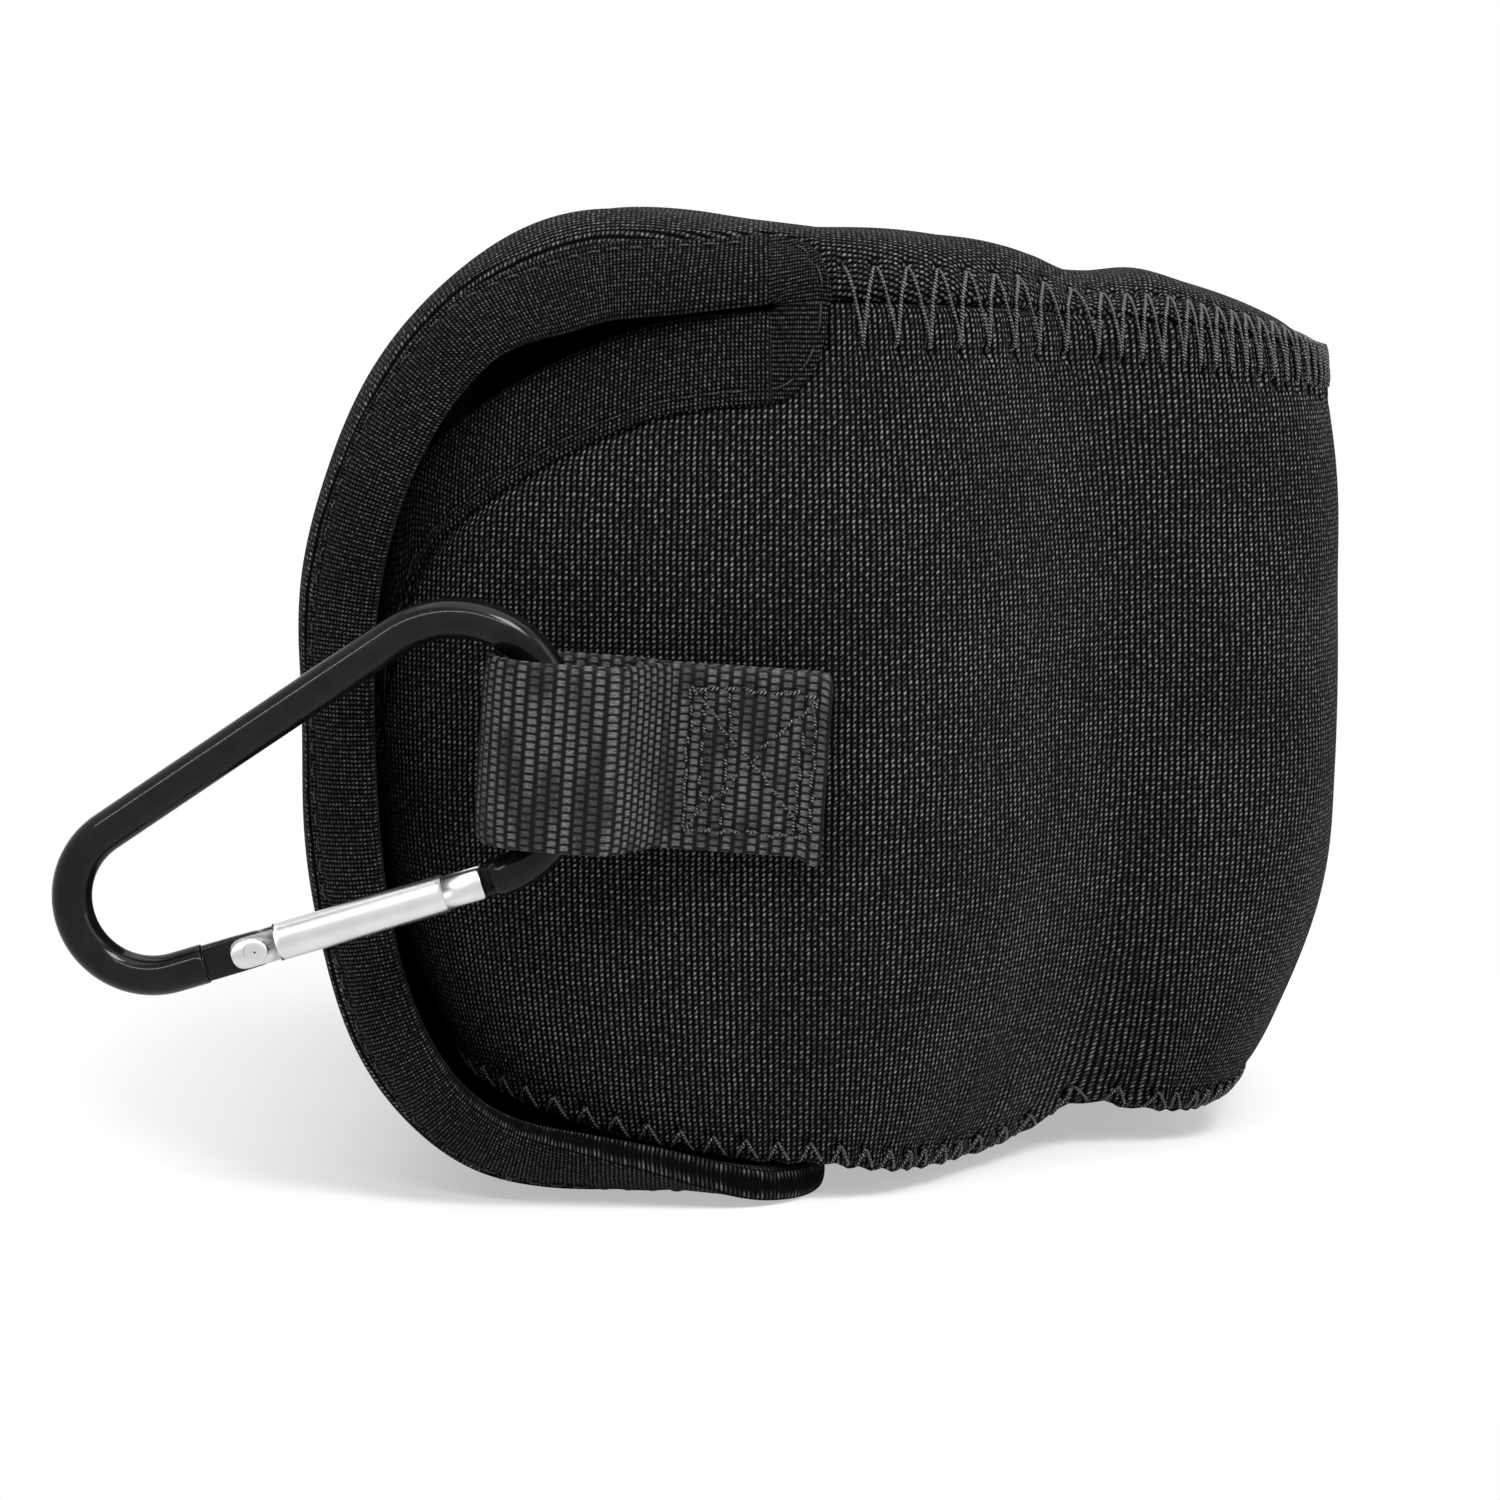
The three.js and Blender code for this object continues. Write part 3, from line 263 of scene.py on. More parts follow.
def grey(level, tint=0.0):
    """A near-neutral colour of a linear level, slightly cooler with tint."""
    return (level * (1 - tint / 2), level * (1 - tint / 4), level, 1.0)


# Shape of the pouch, worked out as in its CAD source, in millimetres


def smooth_through(stations):
    """A smooth function through stations that never swings past them."""
    x, y = np.array(stations, float).T
    slope = np.diff(y) / np.diff(x)
    before, after = slope[:-1], slope[1:]
    total = before + after
    safe = np.where(total == 0, 1, total)
    inner = np.where(before * after <= 0, 0, 2 * before * after / safe)
    tangent = np.concatenate([slope[:1], inner, slope[-1:]])

    def at(value):
        q = np.clip(np.asarray(value, float), x[0], x[-1])
        i = np.clip(np.searchsorted(x, q) - 1, 0, len(x) - 2)
        span = x[i + 1] - x[i]
        k = (q - x[i]) / span
        rise = y[i + 1] - y[i]
        a = tangent[i] * span
        b = tangent[i + 1] * span
        return y[i] + a * k + (3 * rise - 2 * a - b) * k**2 + (a + b - 2 * rise) * k**3

    return at


def smoothstep(k):
    c = np.clip(k, 0, 1)
    return c * c * (3 - 2 * c)


def unit(vectors):
    size = np.linalg.norm(vectors, axis=-1, keepdims=True)
    return vectors / np.maximum(size, 1e-12)


def closed_curve(points, steps=60):
    """Points along a closed centripetal curve through points, with its length at each."""
    p = np.asarray(points, float)
    out = []
    k = (np.arange(steps) / steps)[:, None]
    for i in range(len(p)):
        a, b, c, d = (p[(i + j) % len(p)] for j in (-1, 0, 1, 2))
        ta, tb, tc = (np.linalg.norm(v) ** 0.5 for v in (b - a, c - b, d - c))
        enter = ((b - a) / ta - (c - a) / (ta + tb) + (c - b) / tb) * tb
        leave = ((c - b) / tb - (d - b) / (tb + tc) + (d - c) / tc) * tb
        out.append(b + enter * k + (3 * (c - b) - 2 * enter - leave) * k**2
                   + (2 * (b - c) + enter + leave) * k**3)
    line = np.concatenate(out + [p[:1]])
    length = np.concatenate([[0], np.cumsum(np.linalg.norm(np.diff(line, axis=0), axis=1))])
    return line, length


PLAN_LOOP = PLAN + [(x, -y) for x, y in PLAN[-2:0:-1]]
PLAN_LINE, PLAN_LENGTHS = closed_curve(PLAN_LOOP)
PLAN_LENGTH = PLAN_LENGTHS[-1]
HALF_PLAN = PLAN_LENGTH / 2
PLAN_TANGENTS = unit(np.roll(PLAN_LINE[:-1], -1, axis=0) - np.roll(PLAN_LINE[:-1], 1, axis=0))
PLAN_TANGENTS = np.concatenate([PLAN_TANGENTS, PLAN_TANGENTS[:1]])


def plan_at(length):
    """Place and outward direction of the plan at lengths from the rear wall's middle."""
    around = np.mod(length, PLAN_LENGTH)
    place = np.stack([np.interp(around, PLAN_LENGTHS, PLAN_LINE[:, i]) for i in (0, 1)], -1)
    tangent = unit(np.stack([np.interp(around, PLAN_LENGTHS, PLAN_TANGENTS[:, i]) for i in (0, 1)], -1))
    return place, np.stack([-tangent[..., 1], tangent[..., 0]], -1)


top_seam_drop = smooth_through(TOP_SEAM_DROPS)
top_middle_drop = smooth_through(TOP_MIDDLE_DROPS)
mouth_drop = smooth_through(MOUTH_DROPS)
front_bottom_seam = smooth_through(BOTTOM_SEAM)
TAIL_RADIUS = HINGE_Z - TAIL_CLEARANCE


def bottom_seam(x):
    rear = HINGE_Z - np.sqrt(np.maximum(TAIL_RADIUS**2 - (x - HINGE_X) ** 2, 0))
    return np.where(x >= HINGE_X, front_bottom_seam(x), rear)


def pulled(normal, pull, side):
    end = np.where(normal[..., 0] < 0, pull["rear"], pull["front"])
    return side * normal[..., 1] ** 2 + end * normal[..., 0] ** 2


class Wall:
    """The side wall's outer surface and rims at lengths round the plan."""

    def __init__(self, length):
        self.length = np.asarray(length, float)
        self.place, self.normal = plan_at(self.length)
        to_lens = smoothstep((self.place[..., 0] - LENS_PULL_X[0]) / (LENS_PULL_X[1] - LENS_PULL_X[0]))
        side = BOTTOM_PULL["side"] + (BOTTOM_PULL["lens"] - BOTTOM_PULL["side"]) * to_lens
        self.low = pulled(self.normal, BOTTOM_PULL, side)
        self.high = pulled(self.normal, TOP_PULL, TOP_PULL["side"])
        self.bottom = bottom_seam(self.place[..., 0] - self.normal[..., 0] * self.low)
        self.top = HINGE_Z - top_seam_drop(self.place[..., 0] - self.normal[..., 0] * self.high)
        self.x = self.place[..., 0]

    def at(self, z, depth=0.0):
        side = 2 * (z - self.bottom) / (self.top - self.bottom) - 1
        inset = np.where(side < 0, self.low, self.high) * np.abs(side) ** PULL_POWER + depth
        flat = self.place - self.normal * inset[..., None]
        return np.concatenate([flat, (z + 0 * inset)[..., None]], -1)


HALF_LENGTHS = np.linspace(0, HALF_PLAN, 4000)
HALF_XS = plan_at(HALF_LENGTHS)[0][:, 0]


def length_at_x(x):
    """Length along the plan where its +Y half reaches x."""
    return np.interp(x, np.maximum.accumulate(HALF_XS), HALF_LENGTHS)


HINGE_LENGTH = length_at_x(HINGE_X)
TURN_STEPS = 48
TURN_MIDS = ((np.arange(TURN_STEPS) + 0.5) / TURN_STEPS) ** TURN_POWER


def margin_shape(turn):
    """How far a turned margin runs down and across, as shares of its length."""
    angle = np.asarray(turn)[..., None] * math.pi / 2 * TURN_MIDS
    zero = np.zeros(angle.shape[:-1] + (1,))
    down = np.concatenate([zero, np.cumsum(np.sin(angle), -1) / TURN_STEPS], -1)
    across = np.concatenate([zero, np.cumsum(np.cos(angle), -1) / TURN_STEPS], -1)
    return down, across


def across_panel(width, flat, margin, turn):
    """Place and lean of a panel's cross-section at a width from its middle; one panel row each."""
    down_steps, across_steps = margin_shape(turn)
    share = np.maximum((np.abs(width) - flat) / margin, 0)
    inside = np.minimum(share, 1)
    beyond = share - inside
    place = inside * TURN_STEPS
    i = np.minimum(place.astype(int), TURN_STEPS - 1)
    part = place - i
    rows = np.broadcast_to(np.arange(len(down_steps))[:, None], i.shape)
    lean = turn[:, None] * math.pi / 2 * inside**TURN_POWER
    down = down_steps[rows, i] * (1 - part) + down_steps[rows, i + 1] * part + beyond * np.sin(lean)
    run = across_steps[rows, i] * (1 - part) + across_steps[rows, i + 1] * part
    out = np.sign(width) * (flat + margin * (run + beyond * np.cos(lean)))
    y = np.where(np.abs(width) <= flat, width, out)
    return y, down * margin, lean


def turn_for(drop, margin):
    """Turns that let margins drop by given heights."""
    turns = np.linspace(0, 1, 401)
    drops = margin_shape(turns)[0][:, -1]
    return np.interp(drop / margin, drops, turns)


def flap_middle_line():
    """The flap's outer middle line, from the hinge over the top and down the rear to its tail."""
    top = smooth_through([(FLAP_TOP[0] - FLAP_REAR["reach"], FLAP_TOP[1]), FLAP_TOP, (HINGE_X, HINGE_Z)])
    xs = np.linspace(HINGE_X, FLAP_TOP[0], 40)[:-1]
    first = np.stack([xs, top(xs)], -1)
    angle = np.linspace(0, math.pi, 241)
    up = np.cos(angle)
    power = np.where(up > 0, FLAP_POWERS["upper"], FLAP_POWERS["lower"])
    reach = np.where(up > 0, FLAP_TOP[1] - FLAP_REAR["z"], FLAP_REAR["z"])
    x = FLAP_TOP[0] - FLAP_REAR["reach"] * np.sin(angle).clip(0) ** (2 / power)
    z = FLAP_REAR["z"] + reach * np.sign(up) * np.abs(up) ** (2 / power)
    last_x = np.linspace(FLAP_TOP[0], TAIL_END_X, 30)[1:]
    last = np.stack([last_x, 0 * last_x], -1)
    return np.concatenate([first, np.stack([x, z], -1), last])


FLAP_LINE = flap_middle_line()
FLAP_LENGTHS = np.concatenate([[0], np.cumsum(np.linalg.norm(np.diff(FLAP_LINE, axis=0), axis=1))])
FLAP_LENGTH = FLAP_LENGTHS[-1]
FLAP_TANGENTS = unit(np.gradient(FLAP_LINE, FLAP_LENGTHS, axis=0))
flap_turn = smooth_through(list(zip(FLAP_STATIONS, FLAP_TURNS)))
flap_margin = smooth_through(list(zip(FLAP_STATIONS, FLAP_MARGINS)))
flap_flat = smooth_through(list(zip(FLAP_STATIONS, FLAP_FLATS)))


class Flap:
    """The flap's cross-sections at lengths along its middle line, one row each."""

    def __init__(self, length):
        self.length = np.asarray(length, float)
        share = self.length / FLAP_LENGTH
        self.turn = flap_turn(share)
        self.margin = flap_margin(share)
        self.flat = flap_flat(share)
        self.total = self.flat + self.margin
        inside = np.clip(self.length, 0, FLAP_LENGTH)
        past = self.length - inside
        line = [np.interp(inside, FLAP_LENGTHS, FLAP_LINE[:, i]) for i in (0, 1)]
        tangent = [np.interp(inside, FLAP_LENGTHS, FLAP_TANGENTS[:, i]) for i in (0, 1)]
        self.tangent = unit(np.stack(tangent, -1))
        self.point = np.stack(line, -1) + self.tangent * past[:, None]
        self.normal = np.stack([self.tangent[:, 1], -self.tangent[:, 0]], -1)

    def at(self, across, depth=0.0):
        """Points at widths across (rows, columns) and a depth into the sheet."""
        y, down, lean = across_panel(across, self.flat[:, None], self.margin[:, None], self.turn)
        deep = depth * np.cos(lean) + down
        flat = self.point[:, None] - self.normal[:, None] * deep[..., None]
        side = y - np.sign(across) * depth * np.sin(lean)
        return np.stack([flat[..., 0], side, flat[..., 1]], -1)


def flap_points(length, across, depth=0.0):
    """Points of the flap, each at its own length, width and depth."""
    length, across, depth = np.broadcast_arrays(length, across, depth)
    section = Flap(length.ravel().astype(float))
    return section.at(across.ravel()[:, None], depth.ravel()[:, None])[:, 0].reshape(*length.shape, 3)


class Sheets:
    """Grids of points in millimetres, joined into one mesh that keeps its cloth coordinates."""

    def __init__(self):
        self.points = []
        self.faces = []
        self.marks = []
        self.count = 0

    def add(self, points):
        points = np.asarray(points, float)
        flat = points.reshape(-1, 3)
        index = np.arange(self.count, self.count + len(flat)).reshape(points.shape[:-1])
        self.points.append(flat)
        self.count += len(flat)
        return index

    def join(self, index, marks=None):
        """Faces over a grid of point numbers; marks are millimetres across and along the cloth."""
        if marks is None:
            marks = np.zeros(index.shape + (2,))
        for grid, kept in ((index, self.faces), (marks, self.marks)):
            corners = [grid[:-1, :-1], grid[1:, :-1], grid[1:, 1:], grid[:-1, 1:]]
            kept.append(np.stack(corners, 2).reshape((-1, 4) + grid.shape[2:]))

    def object(self, name, smooth=True):
        points = np.concatenate(self.points) * MM
        faces = np.concatenate(self.faces)
        marks = np.concatenate(self.marks)
        a, b, c, d = (points[faces[:, i]] for i in range(4))
        volume = np.einsum("ij,ij->i", a, np.cross(b, c)) + np.einsum("ij,ij->i", a, np.cross(c, d))
        if volume.sum() < 0:
            faces = faces[:, ::-1]
            marks = marks[:, ::-1]
        mesh = bpy.data.meshes.new(name)
        mesh.from_pydata(points.tolist(), [], faces.tolist())
        cloth = mesh.attributes.new("cloth", "FLOAT_VECTOR", "CORNER")
        flat = np.zeros((faces.size, 3), np.float32)
        flat[:, :2] = marks.reshape(-1, 2)
        cloth.data.foreach_set("vector", flat.ravel())
        if smooth:
            mesh.shade_smooth()
        made = bpy.data.objects.new(name, mesh)
        bpy.context.scene.collection.objects.link(made)
        return made


def closed_columns(index):
    """A grid of point numbers whose first column is repeated at its end."""
    return np.concatenate([index, index[:, :1]], 1)


def close_ends(sheet, index):
    """A strip of faces over each end of a tube of closed rings."""
    half = (index.shape[1] - 1) // 2
    for row, step in ((0, 1), (-1, -1)):
        cap = index[row, :-1]
        other = np.concatenate([cap[:1], cap[: half - 1:-1]])
        sheet.join(np.stack([cap[: half + 1], other])[:, ::step])


def capped(sheet, rings):
    """Rings joined to a tube with closed ends."""
    index = closed_columns(sheet.add(rings))
    sheet.join(index, pair(np.arange(len(rings))[:, None] * 0.3, np.linspace(0, 8, index.shape[1])))
    close_ends(sheet, index)


def pair(first, second):
    """Cloth coordinates of a grid from two arrays that spread over it."""
    return np.stack(np.broadcast_arrays(first, second), -1)


def grid_normals(grid, pointing):
    """Outward directions over a grid of points."""
    normal = unit(np.cross(np.gradient(grid, axis=0), np.gradient(grid, axis=1)))
    return np.where((normal @ np.asarray(pointing, float))[..., None] < 0, -normal, normal)


def stops(*runs):
    """Numbers from several runs of (start, end, count), each end left to the next run."""
    parts = [np.linspace(start, end, count, endpoint=False) for start, end, count in runs]
    return np.concatenate(parts + [[runs[-1][1]]])


SLIT_END_X = 2
SLIT_SEAM_Z = 99.9
BULB = {"reach": 1.2, "run": 0.62, "low": 1.8, "high": 0.9}
EDGE_INSET = TAPE_THICKNESS + TAPE_GAP
TAIL_START = FLAP_LENGTH - EDGE_INSET
SEAM_ROUND = 1.25
SEAM_START = float(length_at_x(9.0))
TOP_STITCH = {"low": 4.9, "high": 4.3, "lean": 0.55, "closer": 2.0}
BOTTOM_STITCH = {"low": 2.4, "high": 2.6, "closer": 1.0}
LENS_LENGTH = float(length_at_x(41.0))
FLOAT_PITCH = 0.85


def top_stitch():
    return {"pitch": sizes().seam_pitch / MM, **TOP_STITCH}


def bottom_stitch():
    return {"pitch": sizes().foot_pitch / MM, **BOTTOM_STITCH}


def seam_share(x):
    """0 where the edge is taped, 1 where it is sewn to its neighbour."""
    return smoothstep((x - SLIT_END_X) / 1.5)


def round_edge(distance, radius=SEAM_ROUND):
    inside = np.clip(radius - distance, 0, radius)
    return radius - np.sqrt(radius**2 - inside**2)


def waves(a, b, size, seed):
    """Gentle seeded swells of about one, over two coordinates."""
    k = 2 * math.pi / size
    first = np.sin(k * (a + 0.37 * b) + seed) * np.cos(k * (0.83 * b - 0.21 * a) + 2.1 * seed)
    second = np.sin(1.9 * k * (0.7 * a - b) + 3.3 * seed) * 0.5
    return first + second


def stitch_number(along, stitch):
    """How many stitches a length of seam holds; they lie closer round the lens."""
    past = np.clip(np.abs(along) - LENS_LENGTH, 0, None)
    return (np.abs(along) + (stitch["closer"] - 1) * past) / stitch["pitch"]


def stitch_place(number, stitch):
    """Length along the wall of a stitch by its number."""
    run = number * stitch["pitch"]
    return np.where(run < LENS_LENGTH, run, LENS_LENGTH + (run - LENS_LENGTH) / stitch["closer"])


def pucker(along, distance, stitch, row):
    """Depth of the cloth beside a sewn seam: holes at the needle line and pillows between them."""
    phase = stitch_number(along, stitch)
    nearest = (phase - np.round(phase)) * stitch["pitch"]
    hole = np.exp(-((nearest / 0.5) ** 2) - ((distance - row) / 0.75) ** 2)
    swell = 0.5 + 0.5 * np.cos(2 * math.pi * phase)
    window = smoothstep(distance / 0.8) * (1 - smoothstep((distance - row) / 1.2))
    pull = np.exp(-(((distance - row) / 1.3) ** 2))
    return 0.85 * hole + 0.42 * (swell - 0.55) * window + 0.18 * pull


def mouth_edge(length):
    """Height of the neoprene's edge round the mouth; the far side is drawn a little higher."""
    place = plan_at(length)[0]
    x = place[..., 0]
    window = smoothstep((x + 42) / 12) * (1 - smoothstep((x + 16) / 14)) * smoothstep(place[..., 1] / 40)
    return HINGE_Z - mouth_drop(x) - EDGE_INSET + 5.2 * window


def mouth_stretch(length):
    slope = (mouth_edge(length + SEAM_GAP) - mouth_edge(length - SEAM_GAP)) / (2 * SEAM_GAP)
    return np.hypot(1, slope)


def tape_press(x, distance):
    """How deep the cloth lies under the tape, by x and by distance from its own edge."""
    past = np.clip(x - SLIT_END_X, 0, None)
    low = BULB["low"] * (1 - seam_share(x))
    reach = BULB["reach"] + BULB["run"] * TAPE_WIDTH
    radius = np.hypot(past / reach, (distance + low) / (TAPE_WIDTH + BULB["low"]))
    return EDGE_INSET * (1 - smoothstep((radius - 1.015) * 8))


def build_wrap():
    """The wrap panel's skin: side walls, rear wall and lens end in one strip."""
    length = np.linspace(0, PLAN_LENGTH, 841)[:-1]
    wall = Wall(length)
    x = wall.x
    sewn = seam_share(x)
    stretch = mouth_stretch(length) * (1 - sewn) + sewn
    top = mouth_edge(length) * (1 - sewn) + (wall.top - SEAM_GAP / 2) * sewn
    bottom = wall.bottom + SEAM_GAP / 2
    near_top = stops((0, 1.2, 6), (1.2, 5, 10), (5, 13, 14))
    near_bottom = stops((0, 1.2, 6), (1.2, 5, 10), (5, 9, 6))
    upper = top - near_top[:, None] * stretch
    lower = bottom + near_bottom[:, None]
    share = np.linspace(0, 1, 62)[1:-1, None]
    middle = lower[-1] + (upper[-1] - lower[-1]) * share
    z = np.concatenate([lower, middle, upper[::-1]])
    from_top = (top - z) / stretch
    from_bottom = z - bottom
    along = np.broadcast_to(np.minimum(length, PLAN_LENGTH - length), z.shape)
    press = tape_press(x, from_top)
    seamed = smoothstep((x - 5) / 3)
    edge = (round_edge(from_top) + pucker(along, from_top, top_stitch(), TOP_STITCH["low"])) * seamed
    foot = round_edge(from_bottom) + pucker(along, from_bottom, bottom_stitch(), BOTTOM_STITCH["low"])
    calm = smoothstep((from_top - 3) / 8) * smoothstep((from_bottom - 3) / 8)
    swell = 0.22 * waves(along, z, 46, 1.3) * calm
    outer = wall.at(z, press + edge + foot + swell)
    thick = NEOPRENE - press * (NEOPRENE - PRESSED_EDGE - EDGE_INSET) / EDGE_INSET
    inner = wall.at(z, thick)
    inner[0, :, 2] += NEOPRENE
    sheet = Sheets()
    marks = pair(np.append(length, PLAN_LENGTH), np.concatenate([z, z[:, :1]], 1))
    face = closed_columns(sheet.add(outer))
    back = closed_columns(sheet.add(inner))
    sheet.join(face, marks)
    sheet.join(back[::-1], marks[::-1])
    for row in (0, -1):
        rim = np.stack([back[row], face[row]] if row == 0 else [face[row], back[row]])
        sheet.join(rim, np.stack([marks[row], marks[row]]))
    return sheet.object("wrap_skin")


def front_rim():
    """Length round the plan at which the top panel's front row starts."""
    lengths = np.linspace(HINGE_LENGTH, HALF_PLAN, 4000)
    wall = Wall(lengths)
    y = wall.at(wall.top)[:, 1]
    return lengths[np.argmax(y <= FRONT_ROW_HALF_WIDTH)]


TOP_END = front_rim()
FRONT_XS = [float(Wall(np.array([k])).at(Wall(np.array([k])).top)[0, 0]) for k in (TOP_END, HALF_PLAN)]


def top_section(length):
    """Flat width, margin, turn and whole half width of the top panel on rows of constant x."""
    wall = Wall(length)
    rim = wall.at(wall.top)
    half = rim[:, 1]
    share = (length - HINGE_LENGTH) / (TOP_END - HINGE_LENGTH)
    bow = (FRONT_XS[1] - FRONT_XS[0]) * share**2
    middle_x = rim[:, 0] + bow
    rise = np.maximum(HINGE_Z - top_middle_drop(middle_x) - rim[:, 2] - SEAM_GAP / 2, 0)
    full_drop = margin_shape(np.array([1.0]))[0][0, -1]
    margin = np.minimum(np.clip(rise / full_drop, TOP_MARGIN, None), half)
    turn = turn_for(rise, margin)
    flat = half - margin * margin_shape(turn)[1][:, -1]
    return {"half": half, "bow": bow, "x": middle_x, "z": rim[:, 2] + SEAM_GAP / 2 + rise,
            "margin": margin, "turn": turn, "flat": flat, "total": flat + margin}


def top_surface(length, across):
    """Outer points of the top panel on rows of constant x, at widths across each row."""
    row = top_section(length)
    y, down, _ = across_panel(across, row["flat"][:, None], row["margin"][:, None], row["turn"])
    x = row["x"][:, None] - row["bow"][:, None] * (y / row["half"][:, None]) ** 2
    return np.stack([x, y, row["z"][:, None] - down], -1)


def spread(half, edge_distances, columns):
    """Widths across a row: close together near both edges, and even between them."""
    edge = half[:, None] - edge_distances
    share = np.linspace(-1, 1, columns + 2)[1:-1]
    middle = edge[:, -1:] * share
    across = np.concatenate([-edge, middle, edge[:, ::-1]], 1)
    return across, half[:, None] - np.abs(across)


def flap_half(section):
    """Half width of the neoprene at each row of the flap, rounded at the tail's corners."""
    x = section.point[:, 0]
    near = section.length < FLAP_LENGTH / 4
    inset = np.where(near, EDGE_INSET * (1 - seam_share(x)), EDGE_INSET)
    side = section.total - inset
    past = np.clip(section.length - (TAIL_START - TAIL_CORNER), 0, TAIL_CORNER)
    return side - TAIL_CORNER + np.sqrt(TAIL_CORNER**2 - past**2), side


def flap_edge_distance(section, across):
    _, side = flap_half(section)
    past = (section.length - (TAIL_START - TAIL_CORNER))[:, None]
    out = np.abs(across) - (side[:, None] - TAIL_CORNER)
    corner = TAIL_CORNER - np.hypot(past, out)
    straight = np.minimum(TAIL_START - section.length[:, None], side[:, None] - np.abs(across))
    return np.where((past > 0) & (out > 0), corner, straight)


def build_cover():
    """The top panel and the flap, one piece of neoprene from the lens end to the tail."""
    edge_distances = stops((0, 1.2, 5), (1.2, 5, 9), (5, 13, 12))
    columns = 96
    top_length = np.linspace(TOP_END, HINGE_LENGTH, 150)
    top_across, top_distance = spread(top_section(top_length)["total"], edge_distances, columns)
    top = top_surface(top_length, top_across)
    flap_length = stops((0.5, 24, 47), (24, TAIL_START - TAIL_CORNER, 200), (TAIL_START - TAIL_CORNER,
                        TAIL_START - 1, 22), (TAIL_START - 1, TAIL_START, 6))
    section = Flap(flap_length)
    half, _ = flap_half(section)
    flap_across, _ = spread(half, edge_distances, columns)
    flap_distance = flap_edge_distance(section, flap_across)
    flap = section.at(flap_across)
    grid = np.concatenate([top, flap])
    across = np.concatenate([top_across, flap_across])
    distance = np.concatenate([top_distance, flap_distance])
    rows = len(top_length)
    middle = grid[:, grid.shape[1] // 2]
    run = np.concatenate([[0], np.cumsum(np.linalg.norm(np.diff(middle, axis=0), axis=1))])
    normal = grid_normals(grid, (0, 0, 1))
    outward = np.concatenate([normal[:rows, :], np.zeros_like(normal[rows:])])
    flap_normal = unit(np.cross(np.gradient(flap, axis=0), np.gradient(flap, axis=1)))
    sign = np.sign(np.einsum("ijk,k->ij", flap_normal[:1], np.array([0, 0, 1.0])).mean())
    outward[rows:] = flap_normal * sign
    x = grid[..., 0]
    top_zone = np.zeros_like(x)
    top_zone[:rows] = 1
    near_hinge = np.concatenate([np.ones(rows), (flap_length < FLAP_LENGTH / 4) * 1.0])[:, None]
    seamed = smoothstep((x - 5) / 3) * near_hinge
    side_along = np.concatenate([top_length, HINGE_LENGTH - flap_length])[:, None]
    front_distance = np.where(top_zone > 0, run[:, None], 999)
    edge_along = np.broadcast_to(side_along, x.shape)
    bow = np.abs(across) / np.maximum(across.max(1, keepdims=True), 1e-6)
    front_along = HALF_PLAN - (HALF_PLAN - TOP_END) * bow
    at_front = smoothstep((distance - front_distance) / 2 + 0.5)
    seam_distance = np.minimum(distance, front_distance)
    seam_along = edge_along * (1 - at_front) + front_along * at_front
    cover = (distance + BULB["high"]) / (TAPE_WIDTH + BULB["high"])
    past = np.clip(x - SLIT_END_X, 0, None) * near_hinge
    radius = np.hypot(past / (BULB["reach"] + BULB["run"] * TAPE_WIDTH), cover)
    press = EDGE_INSET * (1 - smoothstep((radius - 1.015) * 8))
    press = press * (1 - top_zone * smoothstep((x - 9) / 1))
    stitch = top_stitch()
    shift = seam_along + stitch["pitch"] * stitch["lean"]
    edge = (round_edge(seam_distance) + pucker(shift, seam_distance, stitch, stitch["high"])) * seamed
    calm = smoothstep((seam_distance - 3) / 8)
    swell = 0.25 * waves(across, run[:, None] + 0 * across, 52, 0.7) * calm
    rear = smoothstep((run[:, None] - run[-1] * 0.8) / 20)
    depth = press + edge + swell * (1 - rear)
    outer = grid - outward * depth[..., None]
    thick = NEOPRENE - press * (NEOPRENE - PRESSED_EDGE - EDGE_INSET) / EDGE_INSET
    planar = outward * np.array([1, 1, 0.0])
    planar = unit(planar + 1e-9)
    lean = (1 - smoothstep(seam_distance / NEOPRENE))[..., None] * top_zone[..., None]
    inner = grid - unit(outward * (1 - lean) + planar * lean) * thick[..., None]
    sheet = Sheets()
    marks = pair(across, run[:, None])
    face = sheet.add(outer)
    back = sheet.add(inner)
    sheet.join(face, marks)
    sheet.join(back[::-1], marks[::-1])
    for row in (0, -1):
        order = [face[row], back[row]] if row == -1 else [back[row], face[row]]
        sheet.join(np.stack(order), np.stack([marks[row], marks[row]]))
    for column in (0, -1):
        order = [back[:, column], face[:, column]] if column == -1 else [face[:, column], back[:, column]]
        sheet.join(np.stack(order), np.stack([marks[:, column], marks[:, column]]))
    return sheet.object("cover_skin")


